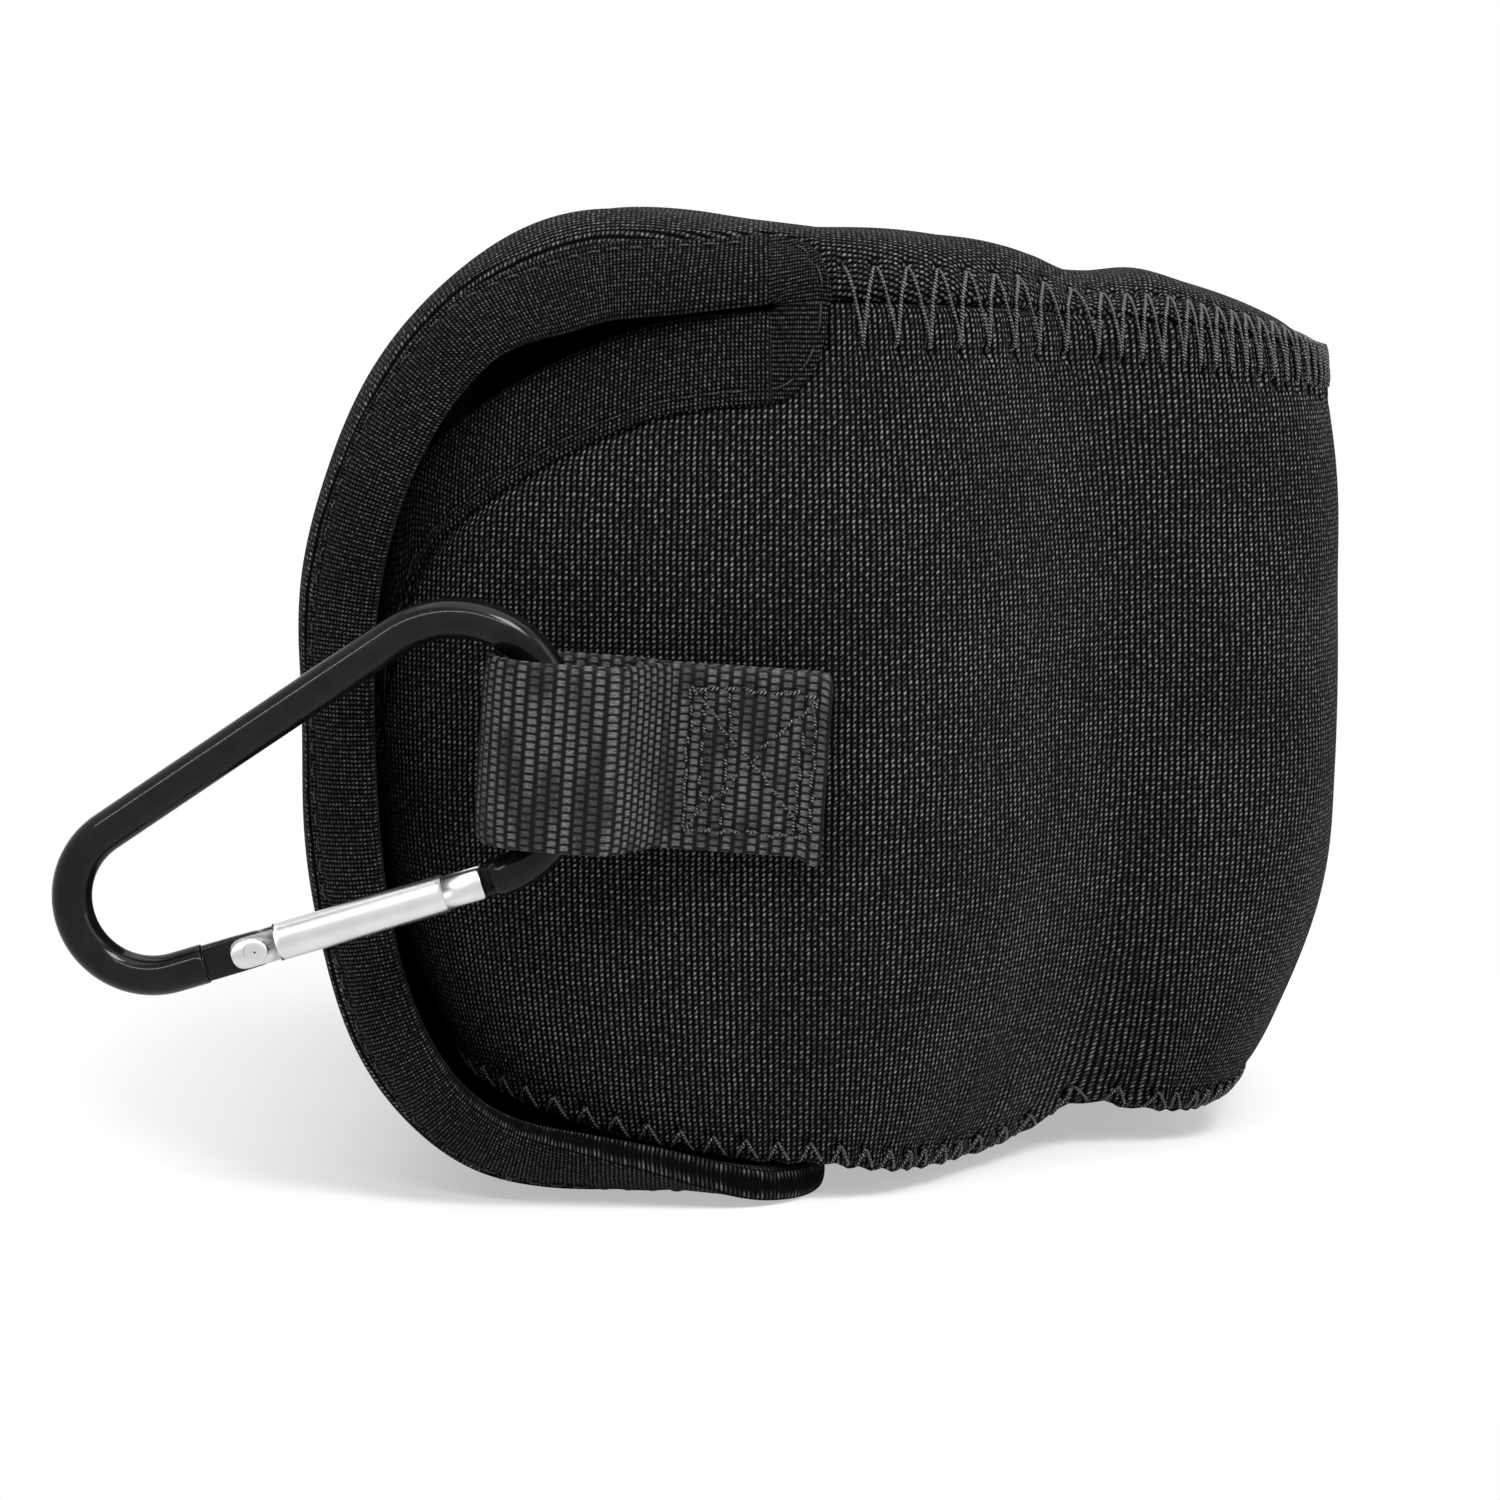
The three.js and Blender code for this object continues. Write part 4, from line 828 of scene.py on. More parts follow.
def build_bottom():
    """The bottom panel's skin, dished over the tail and sagging in front of it."""
    length = np.linspace(0, PLAN_LENGTH, 421)[:-1]
    wall = Wall(length)
    rim = wall.at(wall.bottom)
    shares = stops((0, 0.08, 9), (0.08, 0.97, 24))[:, None]
    middle_x = np.clip(rim[:, 0], *BOTTOM_MIDDLE)
    x = rim[:, 0] + (middle_x - rim[:, 0]) * shares
    y = rim[:, 1] * (1 - shares)
    inward = np.hypot(x - rim[:, 0], y - rim[:, 1])
    crown = smoothstep(inward / BOTTOM_CROWN)
    k = smoothstep((x - DISH_END_X) / (SAG_START_X - DISH_END_X))
    drop = BOTTOM_DISH - (BOTTOM_DISH + BOTTOM_SAG) * k
    z = bottom_seam(x) + drop * crown - SEAM_GAP / 2
    along = np.broadcast_to(np.minimum(length, PLAN_LENGTH - length), z.shape)
    edge = round_edge(inward) + pucker(along, inward, bottom_stitch(), BOTTOM_STITCH["high"])
    outer = np.stack([x, y, z + edge], -1)
    inner = np.stack([x, y, z + NEOPRENE], -1)
    inner[0, :, :2] -= wall.normal * NEOPRENE
    sheet = Sheets()
    under = sheet.add(outer)
    upper = sheet.add(inner)
    marks = pair(closed_columns(outer[..., 1]), closed_columns(outer[..., 0]))
    face, back = closed_columns(under), closed_columns(upper)
    sheet.join(face[::-1], marks[::-1])
    sheet.join(back, marks)
    sheet.join(np.stack([face[0], back[0]]), np.stack([marks[0], marks[0]]))
    half = len(length) // 2
    for rings, turned in ((under, False), (upper, True)):
        there = rings[-1, : half + 1]
        mirrored = np.concatenate([rings[-1, :1], rings[-1, :half - 1:-1]])
        strip = np.stack([there[1:-1], mirrored[1:-1]])
        kept = pair(outer[-1, 1:half, 1], outer[-1, 1:half, 0])
        order = slice(None, None, -1) if turned else slice(None)
        sheet.join(strip[order], np.stack([kept, kept]))
    return sheet.object("bottom_skin")


# Tapes


def tape_profile():
    """The folded tape's closed section: distances from the neoprene's edge, and depths."""
    fine_end = TAPE_WIDTH - 3
    run = np.concatenate([np.linspace(TAPE_WIDTH, fine_end, 13), np.linspace(fine_end, 0, 10)[1:]])
    angle = np.linspace(0, math.pi, 13)[1:-1]
    middle = TAPE_DEPTH / 2
    outer = [(d, 0) for d in run]
    fold = [(-EDGE_INSET * math.sin(a) ** 0.7, middle - middle * math.cos(a)) for a in angle]
    inner = [(d, TAPE_DEPTH) for d in run[::-1]]
    under = [(d, TAPE_DEPTH - TAPE_THICKNESS) for d in (TAPE_WIDTH, TAPE_WIDTH / 2, 0)]
    bend = [(-TAPE_GAP, middle)]
    back = [(d, TAPE_THICKNESS) for d in (0, TAPE_WIDTH / 2, TAPE_WIDTH)]
    return np.array(outer + fold + inner + under + bend + back, float)


TAPE_STITCH = {"pitch": 2.7, "inset": 1.5}


def tape_relief(along, profile):
    """Extra depth of the tape's two outer faces: its rounded edge, stitch groove and small puckers."""
    distance, depth = profile[:, 0], profile[:, 1]
    face = (depth < 0.01) | (depth > TAPE_DEPTH - 0.01)
    side = np.where(depth < TAPE_DEPTH / 2, 1.0, -1.0)
    line = TAPE_WIDTH - TAPE_STITCH["inset"]
    groove = 0.22 * np.exp(-(((distance - line) / 0.45) ** 2))
    phase = along[:, None] / TAPE_STITCH["pitch"]
    beat = 0.5 + 0.5 * np.cos(2 * math.pi * phase)
    dent = 0.16 * beat * np.exp(-(((distance - line) / 0.8) ** 2))
    edge = 0.28 * smoothstep((distance - (TAPE_WIDTH - 0.5)) / 0.5)
    swell = 0.10 * waves(along[:, None], distance, 17, 2.2) * smoothstep((distance + 0.5) / 2)
    return (groove + dent + edge + swell) * face * side


def bulb_points(side, angle, profile, relief):
    """Tape points round the slit's end; the angle runs from -90 degrees, at the mouth's side, to 90."""
    distance, depth = profile[:, 0], profile[:, 1]
    gather = np.sin(9 * angle + 0.6)[:, None] * np.exp(-((distance - 0.6) / 1.9) ** 2)
    turn = np.cos(angle)[:, None] ** 0.5
    depth = depth + relief + 0.4 * gather * turn * np.where(profile[:, 1] < TAPE_DEPTH / 2, 1, -1)
    x = SLIT_END_X + np.cos(angle)[:, None] * (BULB["reach"] + BULB["run"] * distance)
    rise = np.sin(angle)[:, None]
    below = (BULB["low"] + distance) * -rise
    above = (BULB["high"] + distance) * rise
    lower = wall_points(side, x, SLIT_SEAM_Z - below, depth)
    upper = flap_at_x(side, x, above, depth)
    return np.where((rise < 0)[..., None], lower, upper)


def wall_points(side, x, z, depth):
    """Points of the wall at a given x of the plan and height."""
    length = side * length_at_x(x)
    return Wall(length).at(z, depth)


def flap_at_x(side, x, distance, depth):
    """Points of the flap near the hinge at a given x, and a distance in from its sewn or taped side."""
    length = HINGE_X - x
    for _ in range(3):
        total = Flap(length.ravel()).total.reshape(length.shape)
        points = flap_points(length, side * (total - distance), depth)
        length = length + (points[..., 0] - x)
    return points


def build_mouth_tape():
    """The tape round the pouch's mouth, and its turn round the slit's end at each side."""
    profile = tape_profile()
    slit = float(length_at_x(np.array(SLIT_END_X)))
    count = 2 * round(slit / 0.45)
    lengths = np.linspace(-slit, slit, count + 1)
    wall = Wall(lengths[:, None])
    relief = tape_relief(lengths, profile)
    reach = mouth_stretch(lengths)[:, None]
    z = mouth_edge(lengths)[:, None] - profile[:, 0] * reach
    mouth = wall.at(z, profile[:, 1] + relief)
    angles = np.linspace(-math.pi / 2, math.pi / 2, 61)[1:]
    turn_along = slit + (angles + math.pi / 2) * 5
    parts = [bulb_points(-1, angles, profile, tape_relief(turn_along, profile))[::-1], mouth,
             bulb_points(1, angles, profile, tape_relief(turn_along, profile))]
    along = np.concatenate([-turn_along[::-1], lengths, turn_along])
    turned_rows = len(angles)
    turns = [(slice(None, turned_rows), -angles[::-1]), (slice(-turned_rows, None), angles)]
    return tape_object("mouth_tape", np.concatenate(parts), along, profile, turns)


def tape_object(name, rings, along, profile, turns=()):
    sheet = Sheets()
    index = closed_columns(sheet.add(rings))
    run = np.append(profile[:, 0], profile[0, 0])
    marks = pair(along[:, None], run)
    for rows, angle in turns:
        radius = run + BULB["low"]
        flat = pair(radius * np.sin(angle)[:, None], radius * np.cos(angle)[:, None])
        marks[rows] = flat
    sheet.join(index, marks)
    for row, step in ((0, 1), (-1, -1)):
        cap = index[row, :-1]
        half = len(cap) // 2
        other = np.roll(cap[::-1], 1)
        strip = np.stack([cap[1:half], other[1:half]])[:, ::step]
        sheet.join(strip)
    return sheet.object(name)


def build_flap_tape():
    """The tape down one side of the flap, round the tail and up the other side."""
    profile = tape_profile()
    distance, depth = profile[:, 0], profile[:, 1]
    start = HINGE_X - SLIT_END_X
    corner = TAIL_START - TAIL_CORNER
    side_lengths = np.linspace(start, corner, round((corner - start) / 0.45))
    relief = tape_relief(side_lengths, profile)
    at_slit = np.full((1, len(profile)), float(SLIT_END_X))
    first = flap_at_x(1, at_slit, (distance + EDGE_INSET)[None], depth[None])
    section = Flap(side_lengths)
    sides = section.at(section.total[:, None] - EDGE_INSET - distance, depth + relief)
    away = smoothstep((side_lengths - start) / 8)[:, None, None]
    shift = (first - sides[:1]) * (1 - away)
    sides = sides + shift
    angles = np.linspace(0, math.pi / 2, 40)[1:, None]
    reach = TAIL_CORNER - distance
    lengths = corner + reach * np.sin(angles)
    turn_along = corner + TAIL_CORNER * angles[:, 0]
    base = Flap(lengths.ravel()).total.reshape(lengths.shape) - EDGE_INSET - TAIL_CORNER
    turned = flap_points(lengths, base + reach * np.cos(angles), depth + tape_relief(turn_along, profile))
    end = Flap(np.array([corner])).total[0] - EDGE_INSET - TAIL_CORNER
    widths = np.linspace(end, 0, round(end / 0.45))[1:, None]
    tail_along = turn_along[-1] + end - widths[:, 0]
    tail_length = np.broadcast_to(TAIL_START - distance, (len(widths), len(distance)))
    tail_base = Flap(tail_length.ravel()).total.reshape(tail_length.shape) - EDGE_INSET - TAIL_CORNER
    tail = flap_points(tail_length, tail_base * widths / end, depth + tape_relief(tail_along, profile))
    one = np.concatenate([sides, turned, tail])
    along = np.concatenate([side_lengths, turn_along, tail_along])
    mirror = one[-2::-1] * np.array([1, -1, 1])
    both = np.concatenate([one, mirror])
    return tape_object("flap_tape", both, np.concatenate([along, 2 * along[-1] - along[-2::-1]]), profile)


# Threads along the tapes


def dashes(sheet, start, end, place, mirrored=(1,)):
    """Running stitches along a tape: place turns lengths and lifts into points."""
    pitch = TAPE_STITCH["pitch"]
    k = np.linspace(0, 1, 7)
    for number in range(math.ceil(start / pitch), math.floor(end / pitch)):
        along = (number + 0.16 + 0.66 * k) * pitch
        lift = -0.16 + 0.34 * np.sin(math.pi * k) ** 0.6
        line = place(along, lift)
        for side in mirrored:
            add_tube(sheet, line * np.array([1, side, 1]), sizes().thread / MM * 0.8, 6, 0.35, 0.6)


def build_mouth_thread():
    """The line of stitches that holds the tape round the mouth."""
    sheet = Sheets()
    slit = float(length_at_x(np.array(SLIT_END_X)))
    distance = TAPE_WIDTH - TAPE_STITCH["inset"]

    def place(along, lift):
        z = mouth_edge(along) - distance * mouth_stretch(along)
        return Wall(along).at(z, 0.1 - lift)

    def turn(along, lift):
        angle = (along - slit) / 5 - math.pi / 2
        ring = bulb_points(1, angle, np.array([[distance, 0.1]]), -lift[:, None])
        return ring[:, 0]

    dashes(sheet, 0, slit, place)
    dashes(sheet, -slit, 0, place)
    dashes(sheet, slit, slit + 5 * math.pi, turn, (1, -1))
    return sheet.object("mouth_thread")


def build_flap_thread():
    """The line of stitches that holds the tape round the flap."""
    sheet = Sheets()
    distance = TAPE_WIDTH - TAPE_STITCH["inset"]

    def place(along, lift):
        section = Flap(along)
        half, _ = flap_half(section)
        return flap_points(along, half - distance, 0.1 - lift)

    dashes(sheet, HINGE_X - SLIT_END_X + 2, TAIL_START - TAIL_CORNER, place, (1, -1))
    return sheet.object("flap_thread")


# Seam threads


def tube(points, radius, sides=8, twist=0.0, pitch=0.9):
    """A round or two-ply twisted cord along points; its cloth coordinate runs along it."""
    points = np.asarray(points, float)
    tangent = unit(np.gradient(points, axis=0))
    up = np.array([0.31, 0.17, 0.93])
    side = unit(np.cross(tangent, up))
    other = np.cross(tangent, side)
    run = np.concatenate([[0], np.cumsum(np.linalg.norm(np.diff(points, axis=0), axis=1))])
    angle = np.arange(sides) * 2 * math.pi / sides
    ply = 1 - twist * np.abs(np.cos(angle[None] - run[:, None] * 2 * math.pi / pitch)) ** 3
    reach = radius * ply
    reach[0] *= 0.2
    reach[-1] *= 0.2
    around = np.cos(angle)[None, :, None] * side[:, None] + np.sin(angle)[None, :, None] * other[:, None]
    return points[:, None] + around * reach[..., None], pair(run[:, None], angle * radius)


def add_tube(sheet, points, radius, sides=8, twist=0.0, pitch=0.9):
    rings, marks = tube(points, radius, sides, twist, pitch)
    index = closed_columns(sheet.add(rings))
    marks = np.concatenate([marks, marks[:, :1]], 1)
    sheet.join(index, marks)
    for row, step in ((0, 1), (-1, -1)):
        cap = index[row, :-1]
        half = sides // 2
        strip = np.stack([cap[: half + 1], np.concatenate([cap[:1], cap[:half - 1:-1]])])[:, ::step]
        sheet.join(strip)


def rows_from_front(distance):
    """Length of the top panel's row at a distance behind its front edge, along its middle."""
    lengths = np.linspace(TOP_END, HINGE_LENGTH, 150)
    line = top_surface(lengths, np.zeros((150, 1)))[:, 0]
    run = np.concatenate([[0], np.cumsum(np.linalg.norm(np.diff(line, axis=0), axis=1))])
    return np.interp(distance, run, lengths)


def top_seam_point(length, rise, lift):
    """A point beside the top seam: on the wall below it, on the top panel above it."""
    length = np.asarray(length, float)
    rise = np.asarray(rise, float)
    wall = Wall(length)
    below = wall.at(wall.top + np.minimum(rise, 0), -lift)
    above = np.maximum(rise, 0)
    side_total = top_section(np.minimum(length, TOP_END))["total"]
    on_side = top_surface(np.minimum(length, TOP_END), (side_total - above)[:, None])[:, 0]
    front = rows_from_front(above)
    on_front = top_surface(front, wall.at(wall.top)[:, 1][:, None])[:, 0]
    over = np.where((length < TOP_END)[:, None], on_side, on_front)
    out = np.concatenate([wall.normal[:, :2], np.ones((len(length), 1)) * 0.7], 1)
    over = over + unit(out) * lift[:, None]
    share = smoothstep((rise + 0.5) / 1.0)[:, None]
    return below * (1 - share) + over * share


def build_top_thread():
    """The zigzag that sews the wall to the top panel, along both sides and round the lens end."""
    sheet = Sheets()
    stitch = top_stitch()
    low, high = stitch["low"], stitch["high"]
    thin = sizes().thread / MM
    first = math.ceil(stitch_number(SEAM_START - 1.5, stitch))
    last = math.floor(stitch_number(HALF_PLAN - 1, stitch))
    k = np.linspace(0, 1, 15)
    for number in range(first, last + 1):
        lean = stitch["lean"]
        down = stitch_place(number - lean * (1 - k) ** 1.7, stitch)
        up = stitch_place(number + (1 - lean) * k ** 1.3, stitch)
        for along, rise, radius in (
            (down, high - (high + low) * k, thin),
            (up, -low + (high + low) * k, thin * 1.2),
        ):
            if along.max() > HALF_PLAN - 0.5 or along.min() < SEAM_START:
                continue
            lift = 0.02 + 0.42 * np.sin(math.pi * k) ** 0.6 - 0.5 * (np.abs(k - 0.5) * 2) ** 12
            line = top_seam_point(along, rise, lift)
            for mirror in (1, -1):
                add_tube(sheet, line * np.array([1, mirror, 1]), radius, 8, 0.35, 0.75)
    return sheet.object("top_seam_thread")


def build_bottom_thread():
    """The small stitches that sew the wall to the bottom panel."""
    sheet = Sheets()
    stitch = bottom_stitch()
    pitch = stitch["pitch"]
    k = np.linspace(0, 1, 11)
    for number in range(0, math.floor((HALF_PLAN - 1) / pitch)):
        hole = number * pitch + 0.5
        for along, share in ((hole - 1.3 * (1 - k), k), (hole + 1.5 * k, 1 - k)):
            up = stitch["low"] * share
            wall = Wall(along)
            lift = 0.02 + 0.3 * np.sin(math.pi * k) ** 0.6 - 0.5 * (np.abs(k - 0.5) * 2) ** 12
            line = wall.at(wall.bottom + 0.3 + up, -lift)
            for mirror in (1, -1):
                add_tube(sheet, line * np.array([1, mirror, 1]), sizes().thread / MM, 6, 0.35, 0.75)
    return sheet.object("bottom_seam_thread")


# Webbing loop


def strap_line():
    """The strap's middle line, seen along its width, from its sewn inner end round to its outer end."""
    half = WEBBING["thickness"] / 2
    inner = -(BODY_HALF_WIDTH + WEBBING["ply"] + half)
    outer = inner - WEBBING["thickness"] - WEBBING["ply"]
    radius = LOOP_INNER + half
    bend = LOOP_BEND_Y
    k = np.linspace(0, 1, 12)
    fall = smoothstep(k)
    open_x = WEBBING["sewn"] + (LOOP_OPEN_X - WEBBING["sewn"]) * k
    angle = np.linspace(math.pi / 2, 3 * math.pi / 2, 41)
    sewn = np.linspace(WEBBING["end"], WEBBING["sewn"], 10)[:-1]
    parts = [
        np.stack([sewn, np.full(9, inner)], -1),
        np.stack([open_x, inner + (LOOP_LEG_Y - inner) * fall], -1),
        np.stack([LOOP_BEND_X + radius * np.cos(angle), bend + radius * np.sin(angle)], -1),
        np.stack([open_x, outer + (bend - radius - outer) * fall], -1)[::-1],
        np.stack([sewn[::-1], np.full(9, outer)], -1),
    ]
    return np.concatenate(parts)


def to_webbing(points):
    """From the strap's own level frame, width across z, to its place on the pouch."""
    x0, z0 = WEBBING["middle"]
    cos, sin = math.cos(WEBBING_TILT), math.sin(WEBBING_TILT)
    x, y, z = points[..., 0] - x0, points[..., 1], points[..., 2]
    return np.stack([x0 + x * cos + z * sin, y, z0 - x * sin + z * cos], -1)


def box_stitch():
    """Runs of the box and cross that sew the strap down: pairs of (x, height) ends."""
    left, right, low, high = WEBBING["sewn"] + 1.8, WEBBING["end"] - 1.7, -7.6, 7.6
    corners = [(left, low), (right, low), (right, high), (left, high)]
    box = [(corners[i], corners[(i + 1) % 4]) for i in range(4)]
    middle = (left + right) / 2 - 2.6
    cross = [(corners[0], corners[2]), (corners[3], corners[1]), ((middle, low), (middle, high))]
    cross += [((left + 1.5, low + 1), (left + 1.5, high)), ((right - 1.5, low), (right - 1.5, high - 4))]
    return box + cross


def build_webbing():
    """Grosgrain webbing: one strap with ribs across it, folded on itself, its end sealed and flared."""
    line = strap_line()
    run = np.concatenate([[0], np.cumsum(np.linalg.norm(np.diff(line, axis=0), axis=1))])
    steps = round(run[-1] / 0.15)
    along = np.linspace(0, run[-1], steps)
    smooth = np.stack([np.interp(along, run, line[:, i]) for i in (0, 1)], -1)
    kernel = np.hanning(15) / np.hanning(15).sum()
    padded = np.concatenate([smooth[:1].repeat(7, 0), smooth, smooth[-1:].repeat(7, 0)])
    smooth = np.stack([np.convolve(padded[:, i], kernel, "valid") for i in (0, 1)], -1)
    tangent = unit(np.gradient(smooth, axis=0))
    normal = np.stack([tangent[:, 1], -tangent[:, 0]], -1)
    half = WEBBING["thickness"] / 2
    width = WEBBING["width"] / 2
    outer_leg = smoothstep((along - (run[-1] - 17)) / 2)
    press = outer_leg * 0.12
    angle = np.linspace(0, 2 * math.pi, 121)[:-1]
    across = np.sign(np.cos(angle)) * np.abs(np.cos(angle)) ** 0.35
    side = np.sign(np.sin(angle)) * np.abs(np.sin(angle)) ** 0.5
    z = across * width
    pitch = sizes().rib_pitch / MM
    rib = 0.5 + 0.5 * np.cos(2 * math.pi * along / pitch)
    odd = (np.floor(along / pitch) % 2)[:, None] * 0.5
    floats = 0.5 + 0.5 * np.cos(2 * math.pi * (z[None] / FLOAT_PITCH + odd))
    relief = (0.24 * rib[:, None] ** 0.7 * (0.7 + 0.3 * floats) - 0.12) * np.abs(side) ** 0.3
    relief = relief * (1 - 0.5 * outer_leg[:, None])
    end = np.minimum(along, run[-1] - along)
    corner = 1.6
    cut = np.sqrt(np.clip(1 - np.clip((corner - end) / corner, 0, 1) ** 2, 0, 1))
    seal = np.exp(-((end / 0.7) ** 2)) * (along > run[-1] / 2)
    sway = 0.25 * waves(along[:, None], z, 21, 0.9)
    reach = width - corner * (1 - cut)
    flare = seal_flare(along, run[-1])
    spread_down = flare[:, None] * (z[None] < 0) * (z[None] / width) ** 2
    zz = across[None] * reach[:, None] - spread_down
    edge_row = np.clip(end / 0.35, 0.35, 1)
    thick = half * edge_row[:, None] * side[None] + np.sign(side)[None] * relief
    thick = thick + 0.22 * seal[:, None] * np.sign(side)[None] - press[:, None]
    lift = sway * outer_leg[:, None] * 0.35 + 0.5 * seal[:, None] * smoothstep((-z[None] - 3) / 6)
    flat = smooth[:, None] + normal[:, None] * (thick + lift)[..., None]
    stitch = np.zeros_like(thick)
    x_of = flat[..., 0]
    for (ax, az), (bx, bz) in box_stitch():
        dx, dz = bx - ax, bz - az
        share = np.clip(((x_of - ax) * dx + (zz - az) * dz) / (dx * dx + dz * dz), 0, 1)
        gap = np.hypot(x_of - ax - dx * share, zz - az - dz * share)
        stitch = np.maximum(stitch, np.exp(-((gap / 0.55) ** 2)))
    dent = 0.28 * stitch * outer_leg[:, None] * (side[None] > 0.3)
    flat = flat - normal[:, None] * dent[..., None]
    points = to_webbing(np.stack([flat[..., 0], flat[..., 1], zz], -1))
    sheet = Sheets()
    index = closed_columns(sheet.add(points))
    marks = pair(np.append(z, z[0])[None], along[:, None])
    sheet.join(index, marks)
    close_ends(sheet, index)
    return sheet.object("webbing")


def seal_flare(along, length):
    """How far the strap's lower corner spreads at its cut end."""
    return 1.3 * smoothstep((along - (length - 3.2)) / 3.2)


def build_webbing_thread():
    """Knotty stitches of the box and cross, and their holes' loops."""
    sheet = Sheets()
    half = WEBBING["thickness"] / 2
    face = -(BODY_HALF_WIDTH + WEBBING["ply"] + half) - WEBBING["thickness"] - WEBBING["ply"] - half
    rng = np.random.default_rng(5)
    k = np.linspace(0, 1, 9)
    for (ax, az), (bx, bz) in box_stitch():
        length = math.hypot(bx - ax, bz - az)
        count = round(length / 1.75)
        for number in range(count):
            start, stop = (number + 0.1) / count, (number + 0.86) / count
            x = ax + (bx - ax) * (start + (stop - start) * k)
            z = az + (bz - az) * (start + (stop - start) * k)
            jitter = rng.normal(0, 0.14, 2)
            x = x + jitter[0] + rng.normal(0, 0.16) * (k - 0.5)
            z = z + jitter[1] + rng.normal(0, 0.3) * (k - 0.5)
            y = face + 0.12 - 0.34 * np.sin(math.pi * k) ** 0.7 + 0.25 * (np.abs(k - 0.5) * 2) ** 10
            line = np.stack([x, y, z], -1)
            add_tube(sheet, to_webbing(line), 0.2 + rng.uniform(-0.02, 0.03), 8, 0.35, 0.6)
    return sheet.object("webbing_thread")


# Carabiner: its own plane has x along the gate from the rivet, and z towards the spine


def to_carabiner(points):
    cos, sin = math.cos(CARABINER_TILT), math.sin(CARABINER_TILT)
    x, y, z = points[..., 0], points[..., 1], points[..., 2]
    x0, y0, z0 = CARABINER_PLACE
    return np.stack([x0 + x * cos - z * sin, y0 + y, z0 + x * sin + z * cos], -1)


def arc(circle, start, end, count):
    x, z, radius = circle
    angle = np.linspace(start, end, count)
    return np.stack([x + radius * np.cos(angle), z + radius * np.sin(angle)], -1)


def rod_line():
    """Middle line of the bent rod: small end, spine, and the two arcs of the big end."""
    gap = np.subtract(BIG_UPPER[:2], SMALL_END[:2])
    spine = math.atan2(gap[1], gap[0]) + math.acos(-(BIG_UPPER[2] - SMALL_END[2]) / math.hypot(*gap))
    parts = [
        np.array([[TONGUE["start"], 0], [TONGUE["root"] + 0.6, 0]]),
        arc(SMALL_END, -math.pi / 2, spine - 2 * math.pi, 41),
        arc(BIG_UPPER, spine, 0, 41),
        arc(BIG_LOWER, 0, -math.pi / 2, 31),
    ]
    line = np.concatenate(parts)
    run = np.concatenate([[0], np.cumsum(np.linalg.norm(np.diff(line, axis=0), axis=1))])
    even = np.linspace(0, run[-1], 260)
    return np.stack([np.interp(even, run, line[:, i]) for i in (0, 1)], -1)


def swept(line, radius, sides=40):
    """Round rings of given radii along a line in the carabiner's plane."""
    tangent = unit(np.gradient(line, axis=0))
    side = np.stack([-tangent[:, 1], tangent[:, 0]], -1)
    angle = np.arange(sides) * 2 * math.pi / sides
    reach = radius[:, None] * np.cos(angle)
    flat = line[:, None] + side[:, None] * reach[..., None]
    y = radius[:, None] * np.sin(angle)
    return to_carabiner(np.stack([flat[..., 0], y, flat[..., 1]], -1))


def bar(x, low, high, half, power=5.0, sides=40):
    """Rings of a flat bar with eased edges: heights from low to high and half a thickness at each x."""
    angle = np.arange(sides) * 2 * math.pi / sides
    cos, sin = np.cos(angle), np.sin(angle)
    across = np.sign(cos) * np.abs(cos) ** (2 / power)
    side = np.sign(sin) * np.abs(sin) ** (2 / power)
    x, low, high, half = (np.asarray(v, float)[:, None] for v in (x, low, high, half))
    z = (low + high) / 2 + (high - low) / 2 * across
    return to_carabiner(np.stack([x + 0 * z, half * side, z], -1))


def build_carabiner():
    """The bent rod with its flattened tongue under the rivet and its notched nose."""
    sheet = Sheets()
    line = rod_line()
    ease = np.linspace(0, 1, 5)
    bevel = ROD - ROD_BEVEL * (1 - np.sin(ease * math.pi / 2))
    step = ROD_BEVEL * ease[:, None] * [1.0, 0.0]
    path = np.concatenate([line[0] - step, line[2:-2], line[-1] + step])
    radius = np.concatenate([bevel, np.full(len(line) - 4, ROD), bevel[::-1]])
    capped(sheet, swept(path, radius))
    half = TONGUE["thickness"] / 2
    k = np.linspace(0, math.pi / 2, 12)
    x = np.concatenate([[TONGUE["root"], TONGUE["shoulder"]], TONGUE["overhang"] * np.sin(k)])
    top = np.concatenate([[TONGUE["height"] / 2] * 2, TONGUE["overhang"] * np.cos(k)])
    capped(sheet, bar(x, -top - 0.001, top + 0.001, np.full(len(x), half)))
    notch_start = LATCH_PIN["x"] - NOSE["throat"] / 2
    notch_end = LATCH_PIN["x"] + NOSE["throat"] / 2
    floor = -LATCH_PIN["radius"] - 0.1
    full = NOSE["height"] / 2
    x = [NOSE["root"], notch_end + 0.3, notch_end, notch_end - 0.05, notch_start + 0.05, notch_start,
         NOSE["tip"] + 0.15, NOSE["tip"]]
    high = [full, full, full - 0.15, floor, floor, full - 0.15, full - 0.1, full - 0.3]
    low = [-full] * 6 + [-full + 0.1, -full + 0.3]
    capped(sheet, bar(x[::-1], low[::-1], high[::-1], np.full(8, half)))
    return sheet.object("carabiner_rod")


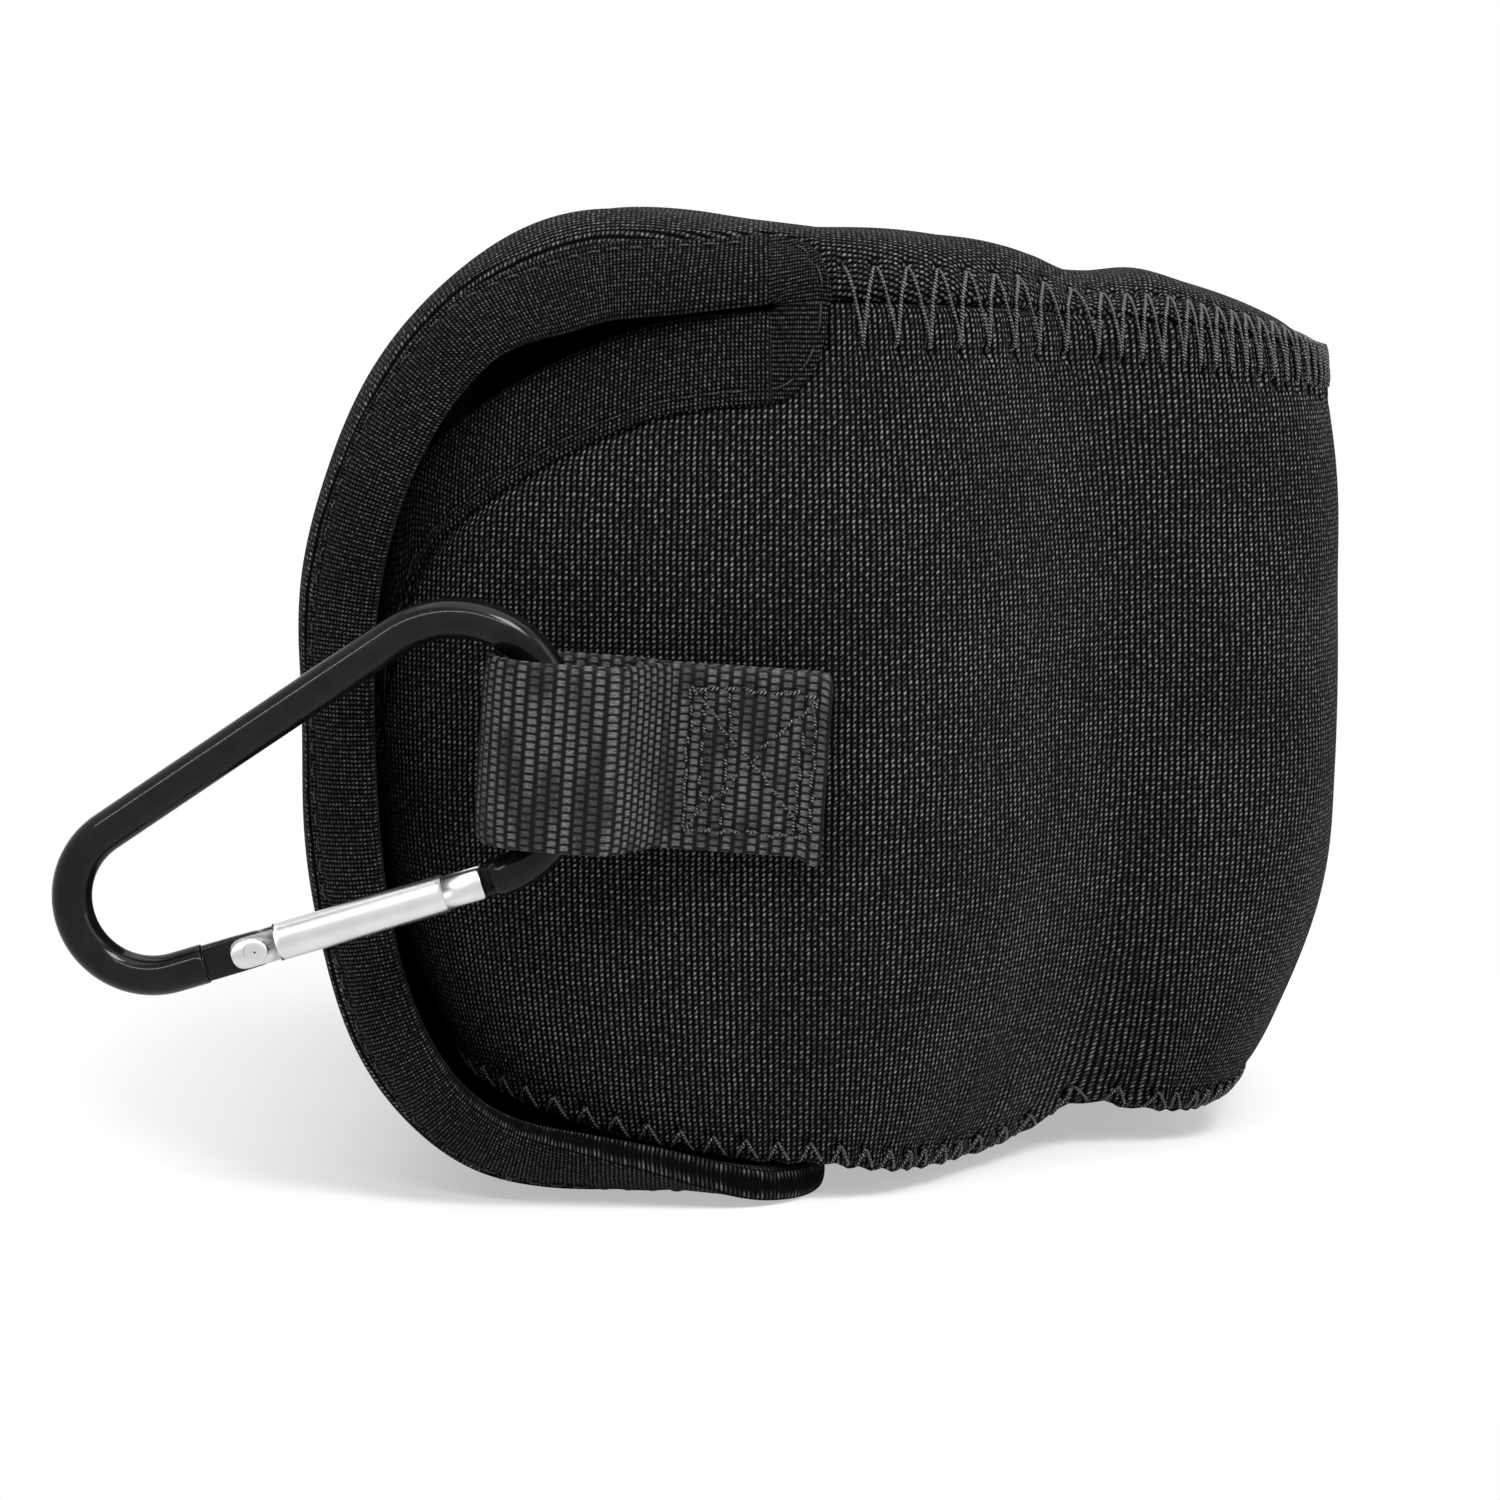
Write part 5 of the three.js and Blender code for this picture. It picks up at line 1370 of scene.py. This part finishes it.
def prong(start, end, sign, rounded):
    """One cheek of the gate's slot: a slice of the tube outside the slot."""
    edge = math.asin(GATE["slot"] / 2 / GATE["radius"])
    angle = np.linspace(edge, math.pi - edge, 21)
    rim = GATE["radius"] * np.stack([np.cos(angle), np.sin(angle)], -1)
    flat = np.stack([np.linspace(rim[-1, 0], rim[0, 0], 21)[1:-1], np.full(19, GATE["slot"] / 2)], -1)
    ring = np.concatenate([rim, flat])
    k = np.linspace(0, 1, 7)
    reach = abs(end - start)
    x = np.concatenate([[0.0, reach - rounded], reach - rounded + rounded * np.sin(k[1:] * math.pi / 2)])
    size = np.concatenate([[1.0, 1.0], np.cos(k[1:] * math.pi / 2) * (0.45 if rounded > 1 else 0.12) +
                           (0.55 if rounded > 1 else 0.88)])
    x = start + np.sign(end - start) * x
    z = ring[:, 0] * size[:, None]
    y = np.broadcast_to(ring[:, 1] * sign, z.shape)
    return to_carabiner(np.stack([np.broadcast_to(x[:, None], z.shape), y, z], -1))


def build_gate():
    """The gate: a drawn tube with two cheeks at each end."""
    sheet = Sheets()
    first = GATE["start"] + GATE["pivot_slot"]
    last = GATE["end"] - GATE["nose_slot"]
    x = np.concatenate([np.linspace(first - 0.05, last + 0.05, 30)])
    line = np.stack([x, 0 * x], -1)
    dent = 0.02 * np.sin(x * 0.9)
    capped(sheet, swept(line, np.full(30, GATE["radius"]) - 0.015 + dent * 0.3))
    for sign in (-1, 1):
        capped(sheet, prong(first, GATE["start"], sign, 1.6))
        capped(sheet, prong(last, GATE["end"], sign, 0.35))
    return sheet.object("gate_tube")


def turned(profile, centre, sides=40):
    """A small turned part whose axis lies across the carabiner: (radius, y) pairs about a centre."""
    angle = np.arange(sides) * 2 * math.pi / sides
    profile = np.asarray(profile, float)
    x = centre[0] + profile[:, :1] * np.cos(angle)
    z = centre[1] + profile[:, :1] * np.sin(angle)
    return to_carabiner(np.stack([x, profile[:, 1:] + 0 * x, z], -1))


def build_rivet():
    """The rivet: a shank with a domed head at each end."""
    sheet = Sheets()
    out = GATE["radius"] + PIVOT_PIN["over"]
    top = out + PIVOT_PIN["head_thickness"]
    k = np.linspace(0, math.pi / 2, 8)
    dome = [(PIVOT_PIN["head"] * math.cos(a), out + (top - out) * math.sin(a) ** 0.8) for a in k[:-1]]
    dome.append((0.12, top))
    half = [(PIVOT_PIN["radius"], out - 0.001)] + [(PIVOT_PIN["head"], out)] + dome
    both = [(r, -y) for r, y in half[::-1]] + half
    capped(sheet, turned(both, (0, 0)))
    return sheet.object("rivet")


def build_latch():
    """The latch pin across the gate's nose end."""
    sheet = Sheets()
    half = GATE["radius"] - 0.1
    r = LATCH_PIN["radius"]
    capped(sheet, turned([(r - 0.12, -half), (r, -half + 0.12), (r, half - 0.12), (r - 0.12, half)],
                         (LATCH_PIN["x"], 0), 24))
    return sheet.object("latch")


# Hook and loop patches


def patch_outline(sides=72):
    length, width, corner = PATCH["length"], PATCH["width"], PATCH["corner"]
    angle = np.arange(sides) * 2 * math.pi / sides
    x = np.sign(np.cos(angle)) * (length / 2 - corner)
    y = np.sign(np.sin(angle)) * (width / 2 - corner)
    corners = np.stack([x, y], -1)
    return corners + corner * np.stack([np.cos(angle), np.sin(angle)], -1)


def build_patch(name, place, hooks):
    """A patch's backing with its sewn edge and rows of hooks, or a nap of loops, on its face."""
    sheet = Sheets()
    outline = patch_outline()
    thickness = PATCH["thickness"]
    base = thickness * 0.45
    levels = [(0.94, 0.0), (1.0, 0.08), (1.0, base - 0.12), (0.985, base), (0.955, base - 0.1), (0.93, base)]
    rings = []
    for share, z in levels:
        shrunk = outline * [3 * share - 2, share]
        rings.append(place(np.concatenate([shrunk, np.full((len(outline), 1), z)], 1)))
    capped(sheet, np.stack(rings))
    rng = np.random.default_rng(3)
    step = 0.95
    across = np.arange(-PATCH["width"] / 2 + 2.6, PATCH["width"] / 2 - 2.5, step)
    along = np.arange(-PATCH["length"] / 2 + 2.2, PATCH["length"] / 2 - 2.1, step * 0.8)
    k = np.linspace(0, 1, 6)
    for y in across:
        for x in along:
            a, b = rng.normal(0, 0.12, 2)
            lean = rng.uniform(-0.5, 0.5)
            if hooks:
                dx = 0.34 * np.sin(k * math.pi * 1.1) - 0.1
                z = base - 0.05 + (thickness - base) * np.sin(k * math.pi * 0.62)
                points = np.stack([x + a + dx, y + b + lean * 0.2 * k, z], -1)
            else:
                dx = 0.42 * np.cos(k * math.pi)
                z = base - 0.05 + (thickness - base) * np.sin(k * math.pi) * rng.uniform(0.7, 1)
                points = np.stack([x + a + dx * math.cos(lean * 3), y + b + dx * math.sin(lean * 3), z], -1)
            add_tube(sheet, place(points), 0.085 if hooks else 0.07, 4)
    return sheet.object(name)


def hook_place(points):
    """On top of the tail, hooks up."""
    middle = PATCH["front"] - PATCH["length"] / 2
    return points + [middle, 0, NEOPRENE + SEAM_GAP]


def loop_place(points):
    """Under the bottom panel, nap down, sloped as the bottom is there."""
    turn = math.atan(LOOP_PATCH_FALL)
    x = points[..., 0] - PATCH["length"] / 2
    z = PATCH["thickness"] - points[..., 2]
    cos, sin = math.cos(turn), math.sin(turn)
    height = LOOP_PATCH_FRONT_Z - x * sin + z * cos
    return np.stack([PATCH["front"] + x * cos + z * sin, points[..., 1], height], -1)


# Finishes


def knit_cloth(name, dark, light, wale, course, depth, sheen, slant=0.75, relief=1.0):
    """Jersey knit: upright columns of small slanted stitches with dark lines between them; each stitch
    carries a painted highlight.
    """
    finish = Finish(name)
    cloth = finish.cloth()
    drift = finish.noise(cloth, 0.2, 2.0) - 0.5
    across, along, _ = finish.parts(cloth)
    column = ((across + drift * 0.3) / wale).fraction() - 0.5
    near = 1 - abs(column) * 2
    beat = (along / course + column * slant + drift * 0.6).fraction() - 0.5
    loop = near.between(0.3, 0.85) * (1 - abs(beat) * 2).between(0.1, 0.8)
    yarn = finish.noise(cloth, 1.9, 1.0)
    worn = finish.noise(cloth, 0.07, 2.0).between(0.3, 0.7, 0.75, 1.1)
    # Painted highlight: the bright colour on each loop stands in for the light its yarn catches; worn varies
    # its tone at random.
    level = loop * (0.22 + yarn.between(0.42, 0.66)) * worn
    colour = finish.mix(level, dark, light)
    normal = finish.bump(loop + near * 0.4, relief, depth)
    shader = finish.node("ShaderNodeBsdfPrincipled", None, {
        "Base Color": colour, "Roughness": 0.95 - loop * 0.25, "Normal": normal,
        "Specular IOR Level": 0.03, "Sheen Weight": sheen, "Sheen Roughness": 0.4,
    })
    return finish.close(shader)


def knit():
    """Matt jersey on the neoprene."""
    size, colour = sizes(), colours()
    wale, course = size.knit_wale / MM, size.knit_course / MM
    return knit_cloth("knit", colour.ground, colour.knit, wale, course, 0.00015, 0.01)


def tape_knit():
    """The finer, flatter knit of the binding tapes."""
    return knit_cloth("tape_knit", colours().ground, colours().tape, 0.5, 0.45, 0.00008, 0.02, 0.4)


def grosgrain():
    """Woven webbing: a painted highlight on the floats of its ribs, and its pressed end shines."""
    finish = Finish("grosgrain")
    cloth = finish.cloth()
    across, along, _ = finish.parts(cloth)
    pitch = sizes().rib_pitch / MM
    rib = (1 - abs((along / pitch).fraction() - 0.5) * 2)
    row = along / pitch
    odd = (row - row.fraction()) * 0.5
    step = (across / FLOAT_PITCH + odd).fraction() - 0.5
    floats = 1 - abs(step) * 2
    fibre = finish.noise(finish.vector("MULTIPLY", cloth, (9.0, 2.0, 1.0)), 1.0, 2.0)
    streaks = finish.vector("MULTIPLY", cloth, (0.3, 1.0, 1.0))
    worn = finish.noise(streaks, 0.35, 2.0).between(0.35, 0.6, 0.3, 1.0)
    # Painted highlight on the floats across the ribs, varied by the fibre and by random worn streaks of
    # tone.
    level = floats.between(0.15, 0.55) * rib.between(0.2, 0.6) * fibre.between(0.3, 0.7, 0.3, 1.1) * worn
    colour = finish.mix(level, colours().ground, colours().webbing)
    normal = finish.bump(level + fibre * 0.3, 0.6, 0.0001)
    shader = finish.node("ShaderNodeBsdfPrincipled", None, {
        "Base Color": colour, "Roughness": 0.55 - level * 0.2, "Normal": normal, "Specular IOR Level": 0.14,
    })
    return finish.close(shader)


def sewing_thread(name="sewing_thread", light=None):
    """Twisted polyester thread: a painted glint on each turn of the twist."""
    finish = Finish(name)
    light = light or colours().thread
    cloth = finish.cloth()
    along, around, _ = finish.parts(cloth)
    turn = (along / 0.38 + around * 1.1).fraction() - 0.5
    painted_glint = (1 - abs(turn) * 2).between(0.55, 0.95)
    fibre = finish.noise(cloth, 3.0, 2.0)
    # Painted glint: the thread's bright colour sits on each turn of the twist, where light would catch it.
    level = painted_glint * fibre.between(0.35, 0.65, 0.35, 1.0)
    colour = finish.mix(level, colours().ground, light)
    normal = finish.bump(painted_glint, 0.5, 0.00005)
    shader = finish.node("ShaderNodeBsdfPrincipled", None, {
        "Base Color": colour, "Roughness": 0.5 - painted_glint * 0.15, "Normal": normal, "Specular IOR Level": 0.2,
    })
    return finish.close(shader)


def tape_thread():
    """The dark thread along the tapes."""
    # Its glints are painted in the tapes' highlight colour.
    return sewing_thread("tape_thread", colours().tape)


def patch_nylon(name, light, roughness):
    """The nylon of the hook and loop patches."""
    finish = Finish(name)
    place = finish.place()
    weave = finish.noise(place, 2600.0, 2.0)
    blotch = finish.noise(place, 240.0, 3.0)
    level = weave.between(0.35, 0.65) * blotch.between(0.3, 0.7, 0.6, 1.0)
    colour = finish.mix(level, colours().ground, light)
    normal = finish.bump(weave, 0.5, 0.0001)
    shader = finish.node("ShaderNodeBsdfPrincipled", None, {
        "Base Color": colour, "Roughness": roughness + (blotch - 0.5) * 0.1, "Normal": normal,
        "Specular IOR Level": 0.35,
    })
    return finish.close(shader)


def metal(name, dark, light, roughness, metallic, grain, gloss, coat, lengthwise=6.0):
    """Coated or drawn metal, with fine drawing marks and a little wear."""
    finish = Finish(name)
    place = finish.place()
    blotch = finish.noise(place, 300.0, 2.0)
    marks = finish.vector("MULTIPLY", place, (1.0, lengthwise, lengthwise))
    fine = finish.noise(marks, 1500.0, 2.0)
    wear = finish.noise(place, 260.0, 5.0, 0.7).between(0.66, 0.74)
    tone = finish.mix(blotch.between(0.3, 0.7), dark, light)
    normal = finish.bump(fine, 0.06, 0.00004)
    shader = finish.node("ShaderNodeBsdfPrincipled", None, {
        "Base Color": tone, "Roughness": roughness + (blotch - 0.5) * grain + wear * 0.12,
        "Metallic": metallic, "Normal": normal, "Specular IOR Level": gloss,
        "Coat Weight": coat, "Coat Roughness": 0.04,
    })
    return finish.close(shader)


def black_coat():
    """The carabiner's glossy black rod."""
    return metal("black_coat", grey(0.003), colours().coat, 0.2, 0.0, 0.05, 0.06, 0.2)


def satin():
    """Bare satin metal of the gate and its pins."""
    return metal("satin", grey(0.6), colours().satin, 0.3, 1.0, 0.04, 0.5, 0.0)


def spring_wire():
    """Drawn wire of the gate's spring."""
    return metal("spring_wire", grey(0.35), grey(0.5), 0.25, 1.0, 0.08, 0.5, 0.0, 2.0)


# Stage

LIGHTS = {
    "key_light": {"place": (0.4, -0.6, 0.85), "size": (0.3, 0.3), "power": 8.0},
    "top_light": {"place": (0.1, 0.1, 1.1), "size": (1.2, 1.2), "power": 9.0},
    "strip_light": {"place": (-0.3, -0.75, 0.8), "size": (1.4, 0.03), "power": 6.0},
    "side_light": {"place": (0.95, -0.3, 0.5), "size": (0.4, 0.8), "power": 3.0},
}
LIGHTS_AIM = (0.0, 0.0, 0.06)
STUDIO_LEVEL = 0.35
FLOOR_RINGS = [20.0, 300.0, 1200.0, 4000.0]
FLOOR_DROP = 0.05
WHITE_SHARE = 0.45
WHITE_FROM = {"middle": (0.075, 0.16), "side": (0.055, 0.115)}
CAMERA = {"place": (0.0, -0.496, 0.109), "aim": (0.0, -0.065, 0.052), "lens": 96.96, "film": 36}


def aimed(place, target):
    """Rotation that points an object's -Z axis from a place to a target."""
    return (Vector(target) - Vector(place)).to_track_quat("-Z", "Y").to_euler()


def add_light(name, place, size, power):
    lamp = bpy.data.lights.new(name, "AREA")
    lamp.shape = "RECTANGLE"
    lamp.size, lamp.size_y = size
    lamp.energy = power
    made = bpy.data.objects.new(name, lamp)
    made.location = place
    made.rotation_euler = aimed(place, LIGHTS_AIM)
    bpy.context.scene.collection.objects.link(made)


def seen_rays(finish):
    """1 for camera, glossy and transmission rays: they see plain white where others see the studio."""
    path = finish.node("ShaderNodeLightPath")
    return path.most(path.output("Is Glossy Ray")).most(path.output("Is Transmission Ray"))


def build_floor():
    """A pale floor, lit near the pouch so that it keeps its shadow, and plain white further off."""
    finish = Finish("floor")
    reach = finish.vector("LENGTH", finish.place()).output("Value")
    lit = finish.node("ShaderNodeBsdfDiffuse", None, {"Color": colours().floor})
    white = finish.node("ShaderNodeEmission", None, {"Color": grey(1.0), "Strength": 1.0})
    beside = abs(finish.parts(finish.place())[0]).between(*WHITE_FROM["side"])
    share = seen_rays(finish) * reach.between(*WHITE_FROM["middle"], WHITE_SHARE, 1.0).most(beside)
    finish.close(finish.node("ShaderNodeMixShader", None, (share, lit, white)))
    sheet = Sheets()
    angle = np.linspace(0, 2 * math.pi, 65)[:-1]
    radius = np.array(FLOOR_RINGS)[:, None]
    ring = np.stack([radius * np.cos(angle), radius * np.sin(angle), 0 * radius * angle - FLOOR_DROP], -1)
    index = closed_columns(sheet.add(ring))
    sheet.join(index)
    half = index[0, :-1].reshape(2, 32)
    sheet.join(np.stack([half[0], half[1][::-1]]))
    floor = sheet.object("floor")
    floor.data.materials.append(finish.material)


def build_world():
    """A dim studio that the camera and reflections see as white."""
    world = bpy.data.worlds.new("studio")
    bpy.context.scene.world = world
    finish = Finish("studio", world, "ShaderNodeOutputWorld")
    strength = STUDIO_LEVEL + seen_rays(finish) * (1 - STUDIO_LEVEL)
    finish.close(finish.node("ShaderNodeBackground", None, {"Color": grey(1.0), "Strength": strength}))


def build_stage():
    scene = bpy.context.scene
    scene.view_settings.view_transform = "Standard"
    camera = bpy.data.objects.new("camera", bpy.data.cameras.new("camera"))
    scene.collection.objects.link(camera)
    camera.location = CAMERA["place"]
    camera.rotation_euler = aimed(CAMERA["place"], CAMERA["aim"])
    camera.data.sensor_width = CAMERA["film"]
    camera.data.lens = CAMERA["lens"]
    camera.data.clip_start = 0.01
    scene.camera = camera
    build_world()
    build_floor()
    for name, light in LIGHTS.items():
        add_light(name, **light)


# Add-on


def millimetres(name, description, default):
    return bpy.props.FloatProperty(
        name=name, description=description, default=default * MM, min=0.0, unit="LENGTH")


def colour(name, description, default):
    return bpy.props.FloatVectorProperty(
        name=name, description=description, default=default, size=4, min=0.0, max=1.0, subtype="COLOR")


class PouchSizes(bpy.types.PropertyGroup):
    """Sizes of the stitches and weaves, which leave the pouch's own shape alone."""

    seam_pitch: millimetres("Top seam pitch", "Length of one zigzag of the seam round the top", 4.5)
    foot_pitch: millimetres("Bottom seam pitch", "Length of one stitch of the seam round the bottom", 3.9)
    thread: millimetres("Thread radius", "Radius of the seam thread", 0.2)
    rib_pitch: millimetres("Rib pitch", "Distance between the webbing's ribs", 1.35)
    knit_wale: millimetres("Knit column", "Width of one column of the knit", 0.7)
    knit_course: millimetres("Knit row", "Height of one row of the knit", 0.56)


class PouchColours(bpy.types.PropertyGroup):
    """Colours of the cloths, threads and metals; knit, tape, thread and webbing are painted highlights over
    the dark ground.
    """

    ground: colour("Ground", "Dark between the stitches of every cloth", grey(0.001))
    # knit: painted highlight on each stitch of the jersey, over the dark ground.
    knit: colour("Knit", "Bright stitches of the neoprene's jersey", grey(0.17))
    # tape: painted highlight on the stitches of the binding tapes, also the painted glint of the thread
    # along them.
    tape: colour("Tape", "Bright stitches of the binding tapes", grey(0.085))
    # thread: painted glints on the sewing thread.
    thread: colour("Thread", "Flecks of light on the sewing thread", grey(0.3))
    # webbing: painted highlight on the floats of the grosgrain webbing.
    webbing: colour("Webbing", "Floats of the grosgrain webbing", grey(0.12))
    coat: colour("Coat", "Coat of the carabiner's rod", grey(0.006))
    satin: colour("Satin metal", "Gate, rivet and latch pin", grey(0.66))
    floor: colour("Floor", "Floor under the pouch", grey(0.9))


def sizes():
    return bpy.context.scene.pouch_sizes


def colours():
    return bpy.context.scene.pouch_colours


def dressed(piece, material, nodes):
    """Gives a piece its finish and hides the CAD nodes that it stands for."""
    piece.data.materials.append(material)
    if nodes:
        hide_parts(*nodes)
    return piece


def finished(piece, material, slot, *nodes, body="pouch"):
    """A dressed piece that rides on one body."""
    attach(piece, body)
    return dressed(piece, material, nodes)


def bent(piece, material, slot, *nodes):
    """A dressed piece whose transform is baked into its mesh; it is attached to no body."""
    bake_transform(piece)
    return dressed(piece, material, nodes)


class Builder:
    """What the add-on's operators share."""

    bl_options = {"REGISTER", "UNDO"}

    def execute(self, context):
        self.build()
        return {"FINISHED"}


class POUCH_OT_stage(Builder, bpy.types.Operator):
    """Set up the camera, the pale floor and the soft studio light"""

    bl_idname = "pouch.stage"
    bl_label = "Stage"

    def build(self):
        build_stage()


class POUCH_OT_wall(Builder, bpy.types.Operator):
    """Build the wall: one strip of knit-covered neoprene round the sides, rear and lens end"""

    bl_idname = "pouch.wall"
    bl_label = "Wall"

    def build(self):
        finished(build_wrap(), knit(), "knit_neoprene", "wrap_panel")


class POUCH_OT_cover(Builder, bpy.types.Operator):
    """Build the cover: the top panel that runs on as the flap"""

    bl_idname = "pouch.cover"
    bl_label = "Top and flap"

    def build(self):
        bent(build_cover(), knit(), "knit_neoprene", "top_panel", "back_flap")


class POUCH_OT_bottom(Builder, bpy.types.Operator):
    """Build the bottom panel"""

    bl_idname = "pouch.bottom"
    bl_label = "Bottom"

    def build(self):
        finished(build_bottom(), knit(), "knit_neoprene", "bottom_panel")


class POUCH_OT_tapes(Builder, bpy.types.Operator):
    """Build the folded tapes round the mouth and round the flap"""

    bl_idname = "pouch.tapes"
    bl_label = "Binding tapes"

    def build(self):
        finished(build_mouth_tape(), tape_knit(), "binding_knit", "mouth_binding")
        bent(build_flap_tape(), tape_knit(), "binding_knit", "flap_binding")


class POUCH_OT_threads(Builder, bpy.types.Operator):
    """Sew the seams: the zigzag round the top, the stitches round the bottom and those along the tapes"""

    bl_idname = "pouch.threads"
    bl_label = "Seam threads"

    def build(self):
        finished(build_top_thread(), sewing_thread(), "knit_neoprene")
        finished(build_bottom_thread(), sewing_thread(), "knit_neoprene")
        finished(build_mouth_thread(), tape_thread(), "binding_knit")
        bent(build_flap_thread(), tape_thread(), "binding_knit")


class POUCH_OT_webbing(Builder, bpy.types.Operator):
    """Build the webbing loop and the stitches that hold it"""

    bl_idname = "pouch.webbing"
    bl_label = "Webbing loop"

    def build(self):
        finished(build_webbing(), grosgrain(), "grosgrain", "webbing_loop")
        finished(build_webbing_thread(), sewing_thread(), "grosgrain")


class POUCH_OT_patches(Builder, bpy.types.Operator):
    """Build the loop patch under the bottom and the hook patch on the tail"""

    bl_idname = "pouch.patches"
    bl_label = "Hook and loop patches"

    def build(self):
        nap = build_patch("loop_nap", loop_place, False)
        finished(nap, patch_nylon("loop_nylon", grey(0.03), 0.9), "loop_tape", "loop_patch")
        hooks = build_patch("hook_field", hook_place, True)
        finished(hooks, patch_nylon("hook_nylon", grey(0.03), 0.6), "hook_tape", "hook_patch", body="flap")


class POUCH_OT_carabiner(Builder, bpy.types.Operator):
    """Build the carabiner's rod and its rivet"""

    bl_idname = "pouch.carabiner"
    bl_label = "Carabiner"

    def build(self):
        finished(build_carabiner(), black_coat(), "black_aluminium", "carabiner_frame", body="carabiner")
        finished(build_rivet(), satin(), "satin_metal", "pivot_pin", body="carabiner")


class POUCH_OT_gate(Builder, bpy.types.Operator):
    """Build the gate and its latch pin, and finish the spring and plunger inside it"""

    bl_idname = "pouch.gate"
    bl_label = "Gate"

    def build(self):
        finished(build_gate(), satin(), "satin_metal", "carabiner_gate", body="gate")
        finished(build_latch(), satin(), "satin_metal", "latch_pin", body="gate")
        for name, material in (("gate_spring", spring_wire()), ("spring_plunger", satin())):
            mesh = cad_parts[name].data
            mesh.materials.clear()
            mesh.materials.append(material)


OPERATORS = (
    POUCH_OT_stage, POUCH_OT_wall, POUCH_OT_cover, POUCH_OT_bottom, POUCH_OT_tapes, POUCH_OT_threads,
    POUCH_OT_webbing, POUCH_OT_patches, POUCH_OT_carabiner, POUCH_OT_gate,
)


class POUCH_PT_panel(bpy.types.Panel):
    """The pouch's sizes, colours and pieces"""

    bl_idname = "POUCH_PT_panel"
    bl_label = "Neoprene pouch"
    bl_space_type = "VIEW_3D"
    bl_region_type = "UI"
    bl_category = "Pouch"

    def draw(self, context):
        for group in (context.scene.pouch_sizes, context.scene.pouch_colours):
            box = self.layout.box()
            for name in type(group).__annotations__:
                box.prop(group, name)
        column = self.layout.column(align=True)
        for operator in OPERATORS:
            column.operator(operator.bl_idname)


CLASSES = (PouchSizes, PouchColours, *OPERATORS, POUCH_PT_panel)


def register():
    for item in CLASSES:
        bpy.utils.register_class(item)
    bpy.types.Scene.pouch_sizes = bpy.props.PointerProperty(type=PouchSizes)
    bpy.types.Scene.pouch_colours = bpy.props.PointerProperty(type=PouchColours)


def unregister():
    del bpy.types.Scene.pouch_colours
    del bpy.types.Scene.pouch_sizes
    for item in reversed(CLASSES):
        bpy.utils.unregister_class(item)


def main():
    register()
    bpy.ops.pouch.stage()
    bpy.ops.pouch.wall()
    bpy.ops.pouch.cover()
    bpy.ops.pouch.bottom()
    bpy.ops.pouch.tapes()
    bpy.ops.pouch.threads()
    bpy.ops.pouch.webbing()
    bpy.ops.pouch.patches()
    bpy.ops.pouch.carabiner()
    bpy.ops.pouch.gate()


if __name__ == "__main__":
    main()
